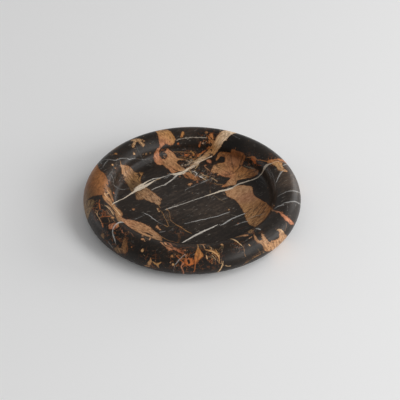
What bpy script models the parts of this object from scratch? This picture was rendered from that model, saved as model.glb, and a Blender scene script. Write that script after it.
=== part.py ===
"""A round serving tray turned from one piece of stone, on four felt pads.

Units are metres and +Z is up. The origin is the middle of the footprint, on the
surface that the tray stands on. The front of the tray faces -Y.

Run it with: blender --background --python part.py
"""

import math

import bpy

MM = 0.001

# Stone body. The rim is a full round: its section is a circle that is as wide as it is high.
TRAY_DIAMETER = 300.0 * MM
RIM_THICKNESS = 39.0 * MM
FLOOR_THICKNESS = 11.2 * MM
COVE_RADIUS = 13.5 * MM

# Felt pads under the stone, each held by a film of adhesive.
PAD_DIAMETER = 20.0 * MM
PAD_THICKNESS = 2.0 * MM
PAD_EDGE_ROUND = 0.4 * MM
PAD_EDGE_INSET = 12.0 * MM
ADHESIVE_FILM = 0.3 * MM
PAD_COUNT = 4
FIRST_PAD_ANGLE = math.radians(45.0)

# How finely the round shapes are divided.
TURNING_STEPS = 96
RIM_QUARTER_SEGMENTS = 10
COVE_SEGMENTS = 8
PAD_SIDES = 40
PAD_ROUND_SEGMENTS = 2
BEVEL_ANGLE = math.radians(40.0)
MERGE_DISTANCE = 0.01 * MM

# Places that follow from the sizes above.
BASE_HEIGHT = PAD_THICKNESS + ADHESIVE_FILM
FLOOR_HEIGHT = BASE_HEIGHT + FLOOR_THICKNESS
RIM_RADIUS = RIM_THICKNESS / 2
RIM_RING_RADIUS = TRAY_DIAMETER / 2 - RIM_RADIUS
RIM_RING_HEIGHT = BASE_HEIGHT + RIM_RADIUS
PAD_RING_RADIUS = RIM_RING_RADIUS - PAD_EDGE_INSET - PAD_DIAMETER / 2

COLLECTION_NAME = "stone_tray"


def clear_scene():
    """Remove every object that the file starts with."""
    for obj in list(bpy.data.objects):
        bpy.data.objects.remove(obj, do_unlink=True)


def new_collection(name):
    """Return a new collection that hangs under the scene's own."""
    collection = bpy.data.collections.new(name)
    bpy.context.scene.collection.children.link(collection)
    return collection


def principled_material(name, colour, roughness, metallic=0.0):
    """Return a plain Principled BSDF material."""
    material = bpy.data.materials.new(name)
    material.use_nodes = True
    material.diffuse_color = (*colour, 1.0)
    shader = material.node_tree.nodes["Principled BSDF"]
    shader.inputs["Base Color"].default_value = (*colour, 1.0)
    shader.inputs["Roughness"].default_value = roughness
    shader.inputs["Metallic"].default_value = metallic
    return material


def arc(centre, radius, start, end, segments):
    """Return points (radius from the axis, height) along an arc, both ends included."""
    turn = (end - start) / segments
    angles = [start + turn * i for i in range(segments + 1)]
    return [
        (centre[0] + radius * math.cos(a), centre[1] + radius * math.sin(a))
        for a in angles
    ]


def cove_centre():
    """Return the centre of the hollow arc that joins the floor to the rim.

    The arc touches the floor from above and touches the rim's circle from outside, so
    its centre is one cove radius over the floor and both radii away from the rim's centre.
    """
    height = FLOOR_HEIGHT + COVE_RADIUS
    reach = RIM_RADIUS + COVE_RADIUS
    across = math.sqrt(reach**2 - (height - RIM_RING_HEIGHT) ** 2)
    return (RIM_RING_RADIUS - across, height)


def tray_profile():
    """Return the turned outline, from the middle of the floor over the rim to the middle of the base."""
    cove = cove_centre()
    rim = (RIM_RING_RADIUS, RIM_RING_HEIGHT)
    lean = math.atan2(rim[1] - cove[1], rim[0] - cove[0])
    top = math.pi / 2
    bottom = -math.pi / 2
    # Arcs that follow each other share a point, which only the later one keeps.
    outline = [(0.0, FLOOR_HEIGHT)]
    outline += arc(cove, COVE_RADIUS, bottom, lean, COVE_SEGMENTS)[:-1]
    outline += arc(rim, RIM_RADIUS, lean + math.pi, top, RIM_QUARTER_SEGMENTS)[:-1]
    outline += arc(rim, RIM_RADIUS, top, bottom, 2 * RIM_QUARTER_SEGMENTS)
    outline += [(0.0, BASE_HEIGHT)]
    return outline


def make_tray_body(collection, material):
    """Turn the profile about Z into the stone body."""
    outline = [(radius, 0.0, height) for radius, height in tray_profile()]
    edges = [(i, i + 1) for i in range(len(outline) - 1)]
    mesh = bpy.data.meshes.new("tray_body")
    mesh.from_pydata(outline, edges, [])
    body = bpy.data.objects.new("tray_body", mesh)
    collection.objects.link(body)

    turning = body.modifiers.new("turning", "SCREW")
    turning.axis = "Z"
    turning.angle = math.tau
    turning.steps = TURNING_STEPS
    turning.render_steps = TURNING_STEPS
    turning.use_merge_vertices = True
    turning.merge_threshold = MERGE_DISTANCE
    turning.use_smooth_shade = True

    mesh.materials.append(material)
    return body


def make_pad(number, angle, collection, material):
    """Make one felt disc, standing on the ground under the flat of the base."""
    middle = (
        PAD_RING_RADIUS * math.cos(angle),
        PAD_RING_RADIUS * math.sin(angle),
        PAD_THICKNESS / 2,
    )
    bpy.ops.mesh.primitive_cylinder_add(
        vertices=PAD_SIDES,
        radius=PAD_DIAMETER / 2,
        depth=PAD_THICKNESS,
        location=middle,
    )
    pad = bpy.context.active_object
    pad.name = f"felt_pad_{number}"
    pad.data.name = pad.name
    for owner in list(pad.users_collection):
        owner.objects.unlink(pad)
    collection.objects.link(pad)

    edge = pad.modifiers.new("edge_round", "BEVEL")
    edge.width = PAD_EDGE_ROUND
    edge.segments = PAD_ROUND_SEGMENTS
    edge.limit_method = "ANGLE"
    edge.angle_limit = BEVEL_ANGLE

    pad.data.shade_smooth()
    pad.data.set_sharp_from_angle(angle=BEVEL_ANGLE)
    pad.data.materials.append(material)
    return pad


def make_tray():
    """Build the whole tray under one empty at the origin."""
    clear_scene()
    collection = new_collection(COLLECTION_NAME)
    stone = principled_material("black_gold_stone", (0.035, 0.030, 0.027), 0.42)
    felt = principled_material("charcoal_felt", (0.045, 0.044, 0.042), 0.95)

    origin = bpy.data.objects.new("tray_origin", None)
    collection.objects.link(origin)

    pieces = [make_tray_body(collection, stone)]
    for i in range(PAD_COUNT):
        angle = FIRST_PAD_ANGLE + math.tau * i / PAD_COUNT
        pieces.append(make_pad(i + 1, angle, collection, felt))
    for piece in pieces:
        piece.parent = origin


make_tray()
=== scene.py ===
"""Looks of the round stone tray: honed black marble with gold patches and white veins.

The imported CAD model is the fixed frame. The stone is turned again as one fine mesh in the
same place, which carries the pattern of the stone as attributes. The four felt pads under
it are made again, with their films of adhesive.

Lengths in the classes are millimetres, and become metres where a mesh is made.
"""

import logging
import math
from dataclasses import dataclass
from enum import Enum
from typing import Any, Optional, Sequence, Union

import bmesh
import bpy
import numpy as np
from mathutils import Matrix, Vector

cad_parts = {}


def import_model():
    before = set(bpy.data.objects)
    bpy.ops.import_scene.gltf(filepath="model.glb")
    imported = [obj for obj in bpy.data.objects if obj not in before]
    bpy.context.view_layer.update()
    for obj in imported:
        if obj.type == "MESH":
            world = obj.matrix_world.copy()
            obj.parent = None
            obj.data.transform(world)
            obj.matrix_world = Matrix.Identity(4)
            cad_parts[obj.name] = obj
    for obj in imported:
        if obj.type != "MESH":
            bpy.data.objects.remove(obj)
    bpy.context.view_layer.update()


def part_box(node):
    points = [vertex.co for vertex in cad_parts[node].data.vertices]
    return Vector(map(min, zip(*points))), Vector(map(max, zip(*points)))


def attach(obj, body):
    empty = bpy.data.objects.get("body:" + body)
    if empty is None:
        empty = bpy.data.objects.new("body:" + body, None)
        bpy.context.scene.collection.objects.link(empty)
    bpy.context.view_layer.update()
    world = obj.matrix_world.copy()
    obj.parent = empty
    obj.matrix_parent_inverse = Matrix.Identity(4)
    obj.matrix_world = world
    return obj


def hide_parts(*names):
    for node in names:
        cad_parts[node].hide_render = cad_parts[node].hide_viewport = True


LOG = logging.getLogger("stone_tray")
MM = 0.001
BODY = "root"
MERGE_DISTANCE = 0.001 * MM
PAD_COUNT = 4
UP = (0.0, 0.0, 1.0)
ORIGIN = (0.0, 0.0, 0.0)

# Edges sharper than the first get a bevel, and those sharper than the second are shaded sharp.
SHARP_ANGLE = math.radians(40.0)
SMOOTH_ANGLE = math.radians(50.0)

# Radius at which the fibres of a fan are as wide as others, and reach of an accent of colour.
FAN_REACH = 34.0
ACCENT_REACH = 8.0

# In millimetres: past everything, close enough to touch, and two that stand in for nothing.
FAR = 1e3
TOUCH = 1e-3
TRACE = 1e-6
TINY = 1e-9

Number = Union[int, float]
Colour = tuple[float, float, float]
Array = np.ndarray


def display_colour(red: int, green: int, blue: int) -> Colour:
    """Turn an 8-bit display colour into linear light.

    Args:
        red: Red from 0 to 255.
        green: Green from 0 to 255.
        blue: Blue from 0 to 255.

    Returns:
        The same colour as linear values from 0 to 1.
    """
    shares = (level / 255.0 for level in (red, green, blue))
    return tuple(
        share / 12.92 if share <= 0.04045 else ((share + 0.055) / 1.055) ** 2.4
        for share in shares
    )


class Slot(Enum):
    """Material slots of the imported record."""

    STONE = "stone"
    FELT = "felt"


class Tint(Enum):
    """Colours of the minerals in the stone, as display colours."""

    IVORY = (228, 212, 190)
    WHITE = (216, 208, 197)
    GREY = (190, 188, 184)
    PALE = (192, 178, 160)
    CREAM = (204, 168, 124)
    PEACH = (189, 143, 104)
    SAND = (188, 148, 114)
    TAN = (174, 130, 86)
    GOLD = (176, 130, 78)
    SALMON = (180, 120, 88)
    ROSE = (160, 112, 84)
    ORANGE = (174, 99, 50)
    BROWN = (156, 103, 57)
    BRONZE = (140, 92, 52)
    RUST = (148, 78, 40)
    FAWN = (172, 133, 98)
    HAZEL = (148, 111, 76)
    SAGE = (140, 130, 108)
    BEIGE = (132, 105, 73)
    OLIVE = (114, 95, 66)
    MUD = (106, 84, 57)
    UMBER = (122, 78, 45)
    SIENNA = (120, 70, 36)

    def linear(self) -> Colour:
        """Return the tint as linear light."""
        return display_colour(*self.value)


class Value:
    """One output socket of a node, with Python's operators for shader maths."""

    def __init__(self, nodes: "Nodes", socket: bpy.types.NodeSocket) -> None:
        """Keep the socket and the tree that it belongs to."""
        self.nodes = nodes
        self.socket = socket

    def _math(self, operation: str, *terms: "Term") -> "Value":
        """Add one Math node and return its result."""
        inputs = dict(enumerate(terms))
        return self.nodes.add("ShaderNodeMath", {"operation": operation}, inputs)

    def __add__(self, other: "Term") -> "Value":
        """Return self + other."""
        return self._math("ADD", self, other)

    def __radd__(self, other: "Term") -> "Value":
        """Return other + self."""
        return self._math("ADD", other, self)

    def __sub__(self, other: "Term") -> "Value":
        """Return self - other."""
        return self._math("SUBTRACT", self, other)

    def __rsub__(self, other: "Term") -> "Value":
        """Return other - self."""
        return self._math("SUBTRACT", other, self)

    def __mul__(self, other: "Term") -> "Value":
        """Return self * other."""
        return self._math("MULTIPLY", self, other)

    def __rmul__(self, other: "Term") -> "Value":
        """Return other * self."""
        return self._math("MULTIPLY", other, self)

    def at_least(self, other: "Term") -> "Value":
        """Return the larger of self and other."""
        return self._math("MAXIMUM", self, other)

    def at_most(self, other: "Term") -> "Value":
        """Return the smaller of self and other."""
        return self._math("MINIMUM", self, other)

    def rise(self, low: "Term", high: "Term") -> "Value":
        """Return 0 at low, 1 at high and a smooth step between them.

        Args:
            low: Value of self at which the step begins.
            high: Value at which it ends, below low for a falling step.

        Returns:
            The step, from 0 to 1.
        """
        settings = {"interpolation_type": "SMOOTHSTEP"}
        inputs = {"Value": self, "From Min": low, "From Max": high}
        return self.nodes.add("ShaderNodeMapRange", settings, inputs)


Term = Union[Value, Number]
Input = Union[Value, Number, Sequence[float]]


@dataclass(frozen=True)
class Grain:
    """One noise, and the mask that is made from it.

    Attributes:
        size: Size of its largest forms in millimetres.
        detail: Number of finer layers.
        roughness: Strength of the finer layers.
        warp: How much it is warped.
        low: Level of the noise at which the mask begins.
        high: Level at which the mask is whole.
        share: Strength of the mask where it is whole.
    """

    size: float
    detail: float = 2.0
    roughness: float = 0.5
    warp: float = 0.0
    low: float = 0.0
    high: float = 1.0
    share: float = 1.0


class Nodes:
    """The node tree of one material."""

    def __init__(self, name: str) -> None:
        """Start a material that has a Principled shader and nothing else.

        Args:
            name: Name of the material.
        """
        self.material = bpy.data.materials.new(name)
        self.material.use_nodes = True
        self.tree = self.material.node_tree
        self.shader = self.tree.nodes["Principled BSDF"]

    def add(
        self,
        kind: str,
        settings: Optional[dict[str, Any]] = None,
        inputs: Optional[dict[Union[int, str], Input]] = None,
        output: Union[int, str] = 0,
    ) -> Value:
        """Add any node.

        Args:
            kind: Type name of the node.
            settings: Its properties, which are set before the inputs.
            inputs: Values or links of its sockets, by number or name.
            output: Number or name of the socket to return.

        Returns:
            The chosen output socket.
        """
        node = self.tree.nodes.new(kind)
        for key, setting in (settings or {}).items():
            setattr(node, key, setting)
        for key, value in (inputs or {}).items():
            self.connect(node.inputs[key], value)
        return Value(self, node.outputs[output])

    def connect(self, socket: bpy.types.NodeSocket, value: Input) -> None:
        """Link a value to a socket, or set the socket to a number or a colour.

        Args:
            socket: The input socket.
            value: What it gets.
        """
        if isinstance(value, Value):
            self.tree.links.new(value.socket, socket)
        elif isinstance(value, (int, float)):
            socket.default_value = value
        elif socket.type == "RGBA":
            socket.default_value = (*value, 1.0)[:4]
        else:
            socket.default_value = value

    def finish(self, **sockets: Input) -> bpy.types.Material:
        """Set sockets of the Principled shader, named with underscores.

        Args:
            **sockets: Values or links, such as Base_Color or Roughness.

        Returns:
            The finished material.
        """
        for key, value in sockets.items():
            self.connect(self.shader.inputs[key.replace("_", " ")], value)
        return self.material

    def place(self) -> Value:
        """Return the place on the object in millimetres."""
        place = self.add("ShaderNodeTexCoord", output="Object")
        return self.vector_maths("SCALE", place, Scale=1.0 / MM)

    def vector_maths(self, operation: str, *vectors: Input, **named: Input) -> Value:
        """Add one Vector Math node.

        Args:
            operation: Its operation.
            *vectors: Its vectors, in order.
            **named: Other sockets by name.

        Returns:
            The resulting vector, or the number for a length.
        """
        output = "Value" if operation == "LENGTH" else "Vector"
        inputs = {**dict(enumerate(vectors)), **named}
        return self.add("ShaderNodeVectorMath", {"operation": operation}, inputs, output)

    def attribute(self, name: str, output: str = "Vector") -> Value:
        """Return an attribute of the mesh."""
        return self.add("ShaderNodeAttribute", {"attribute_name": name}, output=output)

    def parts(self, vector: Value) -> tuple[Value, Value, Value]:
        """Take a vector apart.

        Args:
            vector: The vector.

        Returns:
            Its three parts.
        """
        first = self.add("ShaderNodeSeparateXYZ", None, {0: vector})
        outputs = first.socket.node.outputs
        return (first, Value(self, outputs[1]), Value(self, outputs[2]))

    def noise(self, place: Value, grain: Grain, output: str = "Fac") -> Value:
        """Add a noise.

        Args:
            place: Where it is read, in millimetres.
            grain: Its sizes.
            output: "Fac" for a number or "Color" for a vector, both about 0.5.

        Returns:
            The noise.
        """
        inputs = {
            "Vector": place,
            "Scale": 1.0 / grain.size,
            "Detail": grain.detail,
            "Roughness": grain.roughness,
            "Distortion": grain.warp,
        }
        return self.add("ShaderNodeTexNoise", None, inputs, output)

    def mask(self, place: Value, grain: Grain, lowered: Term = 0.0) -> Value:
        """Add a noise and make a mask from it.

        Args:
            place: Where it is read, in millimetres.
            grain: Its sizes, levels and share.
            lowered: How far its levels are lowered, which lets the mask spread.

        Returns:
            The mask, from 0 to the grain's share.
        """
        level = self.noise(place, grain).rise(grain.low - lowered, grain.high - lowered)
        return grain.share * level

    def stretched(self, place: Value, angle: float, along: float) -> Value:
        """Stretch a place so that a noise on it runs in one direction.

        Args:
            place: The place in millimetres.
            angle: Direction of the run, in degrees from +X.
            along: How many times longer the forms get.

        Returns:
            The place to give to a noise.
        """
        turn = {"Rotation": (0.0, 0.0, math.radians(-angle))}
        turned = self.add("ShaderNodeMapping", {"vector_type": "POINT"}, {0: place, **turn})
        return self.vector_maths("MULTIPLY", turned, (1.0 / along, 1.0, 1.0))

    def warped(self, place: Value, size: float, reach: float) -> Value:
        """Shift a place about with a noise.

        Args:
            place: The place in millimetres.
            size: Size of the noise's forms in millimetres.
            reach: How far it shifts, from one end to the other.

        Returns:
            The shifted place.
        """
        shift = self.noise(place, Grain(size, detail=3.0, roughness=0.6), "Color")
        return self.vector_maths("MULTIPLY_ADD", shift, (reach, reach, reach), place)

    def cracks(self, place: Value, size: float, width: float) -> Value:
        """Draw a net of cracks.

        Args:
            place: Where it is read, in millimetres.
            size: Size of its meshes in millimetres.
            width: Width of a crack at its foot in millimetres.

        Returns:
            1 in the middle of a crack and 0 beside it.
        """
        settings = {"feature": "DISTANCE_TO_EDGE"}
        inputs = {"Vector": place, "Scale": 1.0 / size}
        gap = self.add("ShaderNodeTexVoronoi", settings, inputs, "Distance")
        return gap.rise(0.5 * width / size, 0.1 * width / size)

    def mix(self, share: Term, first: Input, second: Input, blend: str = "MIX") -> Value:
        """Mix two colours.

        Args:
            share: Share of the second, from 0 to 1.
            first: Colour at 0.
            second: Colour at 1.
            blend: How the second is laid on the first.

        Returns:
            The mixed colour.
        """
        settings = {"data_type": "RGBA", "blend_type": blend, "clamp_factor": True}
        inputs = {0: share, 6: first, 7: second}
        return self.add("ShaderNodeMix", settings, inputs, 2)

    def bump(self, height: Value, strength: float) -> Value:
        """Turn a height in millimetres into a normal."""
        inputs = {"Strength": strength, "Distance": MM, "Height": height}
        return self.add("ShaderNodeBump", None, inputs)


def read_path(text: str) -> Array:
    """Read a drawn line or outline.

    Args:
        text: Points "x,y" or "x,y,width" in millimetres, parted by spaces.

    Returns:
        One row for each point.
    """
    return np.array([[float(part) for part in point.split(",")] for point in text.split()])


def read_rows(table: str) -> list[list[str]]:
    """Split a drawn table at its semicolons, and each of its rows at its colons."""
    return [row.split(":") for row in table.split(";") if row.strip()]


@dataclass(frozen=True)
class Line:
    """A vein, thread or crack, drawn on the unrolled surface.

    Attributes:
        points: Rows of x, y and width, in millimetres.
        strength: How far it covers what it crosses, from 0 to 1.
        tint: Its colour.
    """

    points: Array
    strength: float
    tint: Tint

    @classmethod
    def read(cls, head: str, path: str) -> "Line":
        """Read a line from a row of a drawn table.

        Args:
            head: Its tint, its strength, and its width where that is the same all along.
            path: Its points, each with its width where that varies.

        Returns:
            The line.
        """
        tint, strength, *width = head.split()
        points = read_path(path)
        if width:
            points = np.column_stack([points, np.full(len(points), float(width[0]))])
        return cls(points, float(strength), Tint[tint])


def read_lines(table: str) -> tuple[Line, ...]:
    """Read a drawn table of lines."""
    return tuple(Line.read(*row) for row in read_rows(table))


@dataclass(frozen=True)
class Patch:
    """A patch of gold or tan stone, drawn on the unrolled surface.

    Attributes:
        outline: Its corners, which are rounded off.
        tint: Its main colour.
        accents: Places where it has another colour, each with that colour.
        weave: How strongly fine brown fibres run through it, from 0 to 1.
        run: Direction of its fibres in degrees from +X, or the place that they spread from.
    """

    outline: Array
    tint: Tint
    accents: tuple[tuple[Array, Tint], ...]
    weave: float
    run: Array

    @classmethod
    def read(cls, head: str, outline: str, accents: str = "") -> "Patch":
        """Read a patch from a row of a drawn table.

        Args:
            head: Its tint, its weave and its run.
            outline: Its corners.
            accents: Other tints, each followed by its place.

        Returns:
            The patch.
        """
        tint, weave, run = head.split()
        words = accents.split()
        pairs = zip(words[::2], words[1::2])
        places = tuple((read_path(place)[0], Tint[name]) for name, place in pairs)
        return cls(read_path(outline), Tint[tint], places, float(weave), read_path(run)[0])

    def grain(self, here: Array) -> Array:
        """Measure along and across the fibres.

        Args:
            here: Points of the unrolled surface.

        Returns:
            Rows of the distances along and across, in millimetres.
        """
        if len(self.run) == 1:
            turn = math.radians(self.run[0])
            along = np.array([math.cos(turn), math.sin(turn)])
            across = np.array([-math.sin(turn), math.cos(turn)])
            return np.column_stack([here @ along, here @ across])
        middle = self.outline.mean(0) - self.run
        way = here - self.run
        turn = np.arctan2(way[:, 1], way[:, 0]) - math.atan2(middle[1], middle[0])
        turn = (turn + math.pi) % math.tau - math.pi
        return np.column_stack([np.hypot(way[:, 0], way[:, 1]), turn * FAN_REACH])


@dataclass(frozen=True)
class Spot:
    """A small round fleck."""

    tint: Tint
    x: float
    y: float
    radius: float


@dataclass(frozen=True)
class ToneAndLightArea:
    """A round area where the black stone is lighter or darker, for its own tone and for painted
    highlights and painted shade.

    Attributes:
        x: Place to the right of the middle.
        y: Place behind the middle.
        radius: Reach of the area.
        share: Its brightness beside that of the rest.
        warmth: How much redder it is, as a share.
    """

    x: float
    y: float
    radius: float
    share: float
    warmth: float


@dataclass(frozen=True)
class Zone:
    """A round area where the stone is crushed into flecks and crackle.

    Attributes:
        x: Place to the right of the middle.
        y: Place behind the middle.
        radius: Reach of the area.
        gold: Amount of gold flecks, from 0 to 1.
        pale: Amount of white flecks and hairlines, from 0 to 1.
    """

    x: float
    y: float
    radius: float
    gold: float
    pale: float


# The main white veins, drawn over everything else.
VEINS = read_lines(
    """
IVORY 0.97: -118,-34,0.5 -112,-22,0.8 -108,-12,0.9 -104,-6,1 -99,0,1.3 -95,3.5,1.5 -91,6.5,1.8
  -88,10,2.1 -84,14.5,2.6 -80,19,3.4 -77,22,4.4 -73,25.5,6.4 -69,28.5,6.2 -65,32,5.4 -61,35.5,4.2
  -57,39,3 -54,42,2 -51,45,1.4 -48,47.5,0.8;
WHITE 0.72: -55,23.5,1.2 -52,26,1.6 -48.5,28.5,1.6 -44.5,30.8,1.6 -41.5,33,1.7 -38,34,1.8 -35.5,36.5,1.9
  -32.5,39.8,2.1;
WHITE 0.82: -32.5,39.8,1.8 -30.5,42,1.9 -27.5,45.5,2.1 -25,48.5,2.4 -23,52,2.7 -21,55.5,3 -19.5,58,3.2;
IVORY 0.95: -29,59,1.6 -24,59.5,3.6 -20,59.5,5.6 -16,60.5,6.4 -12,62.5,6 -9.5,65,5 -7,68,4 -5,71,3
  -2,74,2 1,77,1.6 4,80,1.4;
WHITE 0.8: -36,-20.5,1 -31,-17.5,1.7 -27,-15.3,2 -23,-13.5,1.9 -17,-10.5,1.4 -11,-7.5,1.2 -5,-4,1.2
  1,-0.8,1.2 8,3,1.3 14,6,1.3 20,9.5,1.5;
IVORY 0.98: 20,9.5,1.5 26,12.5,1.8 31,15,2.1 36,18,2.5 40,20.2,3 44,21.6,3.5 49,23.4,3.5 54,25.6,3
  58,28,2.4;
PALE 0.95: 58,28,2 62,32.5,2.1 66,35.8,2.4 70,38.3,2.5 74,40,2.5 78,41.8,2.2 82,44,2.1 86,45.8,2.1
  90,48,2.1 95,49.2,2 101,51,1.9 107,51.5,2.2 111,53,3.4 114,55,5 117,56,4.8 121,56.5,2.6 126,56,1.3
  131,57.5,0.9;
GREY 0.42 1.2: -8,23 -5,26 0,30 5,33 10,36.5 15,39 19,42 24,46 30,50;
GREY 0.8: -8,-50,0.7 0,-46.5,0.9 8,-44,1.4 14,-41.5,1.4 20,-40,1.3 24,-38,1.4 30,-36,1.4 36,-34.5,1.3
  41,-31.5,1.5 47,-28,1.5 53,-25,0.9;
WHITE 1: -11.5,-89,1.1 -8,-86,1.9 -3,-82,2.3 0,-79.5,2.5 5,-75,2.8 9,-71.5,2.8 12,-69.5,2.9 15,-67,3.1
  20,-63.5,2.4 25,-60.5,2.1 30,-57,1.9 35,-53,1.3 37.5,-50.5,0.6;
GREY 0.98: 40.5,-53,0.8 44.5,-50.5,1.8 47.5,-47,2.2 51,-43.5,2.2 58,-38,1.8 64,-34,1.6 70,-30.5,1.6
  74,-28,1.3;
GREY 0.62: 58,-54,0.6 61,-52.5,1.1 66,-49,1.5 71,-46.5,1.6 78,-44.5,1.3;
GREY 0.66: 124,-54,1 127,-52,1.8 131,-50,2 134,-49,2 138,-48,1.2;
GREY 0.55: 136,-46,0.6 140,-43.2,1.5 144,-41.2,1.9 149,-38.2,1.9 154,-35,1.9 159,-33,2.1 164,-31.5,2.3
  169,-27.5,2.3 180,-20,2 192,-14,1.4;
GREY 0.55: 126,-25,0.5 131,-22.5,1 136,-21,1.4 140,-19.6,1.4 144,-17,1.4 150,-14,1.5 156,-11,1.8
  162,-8.5,2.1 166,-5.5,2.2 169,-2.5,2.2 180,2,2.2 192,8,1.6;
GREY 0.54: -141,63,0.6 -138,64.5,1 -133,64.5,1.2 -127,63.5,1.2 -121,63,1.3 -117.5,64.5,1.4
  -114.5,67.5,1.1 -111,70.5,1.1 -106,73,1.1 -100,75.5,1.1 -95,77,1.3 -90,80,1 -84,82,0.8 -76,84.5,0.7
  -68,86.5,0.7 -60,90,0.5;
PALE 0.72: -24,123.5,0.8 -19,125.5,1 -14,126.5,1.1 -10,127.5,1.2 -4,128.5,1.2 1,129.4,1.3 8,129,1.3
  14,128.6,1.3 20,128,1.3 25,127.5,1;
GREY 0.74: -96,-76,1.2 -100,-81,2.2 -104,-85.5,2.7 -108,-90,2.1 -112,-96,1.8 -114,-102,1.9 -114,-107,1.9
  -112.8,-113,1.9 -111.5,-119,1.7 -111,-124,0.9;
GREY 0.55: -92,-41,0.6 -86,-42,1 -80,-41,1 -73,-38.5,1 -67,-34.5,0.9;
GREY 0.68: -64,-27.5,0.8 -61,-30,1.7 -57,-32,1.5 -54.5,-35,1.5 -52.5,-38.2,1.6 -50,-40.3,1.4 -47,-44,1
  -43,-48,0.7 -36,-52.5,0.6;
GREY 0.6: 142,48,1.2 144,51,1.7 147,55,1.9 150,59,1.9 156,66,1.4;
GREY 0.85: 143,35.5,1 140,32.5,2 137,27.5,2.3 134.5,22,2.1 132.5,17.5,1.8 131,13,1;
GREY 0.4 0.9: 129,15 128,6 126.5,-3;
GREY 0.66: -8.5,-155.5,0.8 -13,-159,1.2 -17,-162.5,1.3 -20,-165.5,1.3 -23,-168,1;
GREY 0.62: 95.5,-100.5,2 98,-102,3 101,-104.5,2.4;
GREY 0.5: 116,-20,0.6 119,-27,1.1 121,-33,1.5 122,-37,0.9;
GREY 0.5 1.6: 104,168 112,160 121,150 127,147;
GREY 0.6 1.8: -186,30 -176,44 -170,58 -158,74 -150,88;
WHITE 0.65 1.8: -60,178 -40,172 -22,170 -4,176 16,182;
"""
)

# Thinner grey veins beside and between them.
STRANDS = read_lines(
    """
IVORY 0.9: -79,24,1.8 -76,28.5,3 -73,32,4 -69.5,35,4.2 -66,38,3.2 -62,42,2.4 -57,46,2;
WHITE 0.74: -57,46,2 -53,48.5,2.2 -49,49.5,1.8 -45,50,2.2 -41,51.5,1.7 -38,53.5,1.6 -34,56,1.1 -30,59,1;
CREAM 0.6: -6,80,1 -4,82.5,1.7 -2,85.5,1.9 0.5,88,1.9 4,89.5,1.9 7,92,1.9 10,95.5,1.9 12.5,99,1.7
  14,103,1.2;
CREAM 0.75: 6.5,71,1 7.2,74,1.6 8.5,78,1.8 11,82,1.5;
IVORY 0.75 1.5: 0,72 4,76.5 8.5,81.5 12.5,87.5 18.5,93 24,96.8 30,99.5;
GREY 0.5: -125.5,33,0.7 -121,30.5,1.1 -117.7,27,1.1 -115,23,0.7;
CREAM 0.8: 26,-149.6,0.7 30,-150.6,1.3 34,-152.3,1.2 37.5,-154.6,1 40,-158,0.7;
CREAM 0.8: -2,69,1 -1.4,66,1.7 -0.5,63.5,1.7 1,61,1.2;
WHITE 0.75: 2,66.3,1.2 4.5,64.8,1.7 7,63,1.7 8.7,60.7,1.7 8,57.8,1.5 6.2,55.3,1.3 5.5,53,0.8;
CREAM 0.8 1.4: 14.5,61 16.5,58.5 19,56.3 22.5,54.3;
WHITE 0.95 2: 12.3,54.2 14.3,52.2 16.3,51;
CREAM 0.9 1.9: 16.8,50 18.3,48.3 20.3,47.2;
CREAM 0.8 1.5: 29.5,50.5 32,48.3 35,45 36.8,43;
GREY 0.5 1.1: 15.5,40.3 18.5,41.8 21.5,44.5;
PEACH 0.75 1.4: 19,79.5 20.3,76 22,73.2 24.3,70.5 27,67.5;
BEIGE 0.6 1.3: -8,101 -8,97 -7.5,92.5;
SALMON 0.7 1.1: 24.5,71.5 26.5,66 28.5,60;
SALMON 0.6 1: 24,60 29,56.5 34,55;
PEACH 0.5 0.9: 20.5,74.5 23,69.5 23.5,64;
SAGE 0.7 1.2: 76,75.5 80,73 84,70 88,67.5 92,65;
GREY 0.5 1.1: -129,62 -132,57 -134,52 -135.5,47;
GREY 0.45 1: -141,61 -139.5,57 -138.5,53;
GREY 0.35 1.2: -24,-170 -26,-174 -27.5,-180;
GREY 0.32 1.8: -125,-116 -122.5,-121 -120.5,-128;
GREY 0.5 1.3: -37,49 -34.5,50.3 -32.5,53;
GREY 0.45 1.2: -31.5,54.5 -29,58;
GREY 0.14 0.7: 25,-4 33,2 46,8 60,16;
GREY 0.45 1.3: -42,-68 -39,-67 -35,-65.5;
CREAM 0.8: 126,-99.5,1 129,-97.3,2 133,-96.5,2 138,-97.5,1.4;
"""
)

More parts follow.
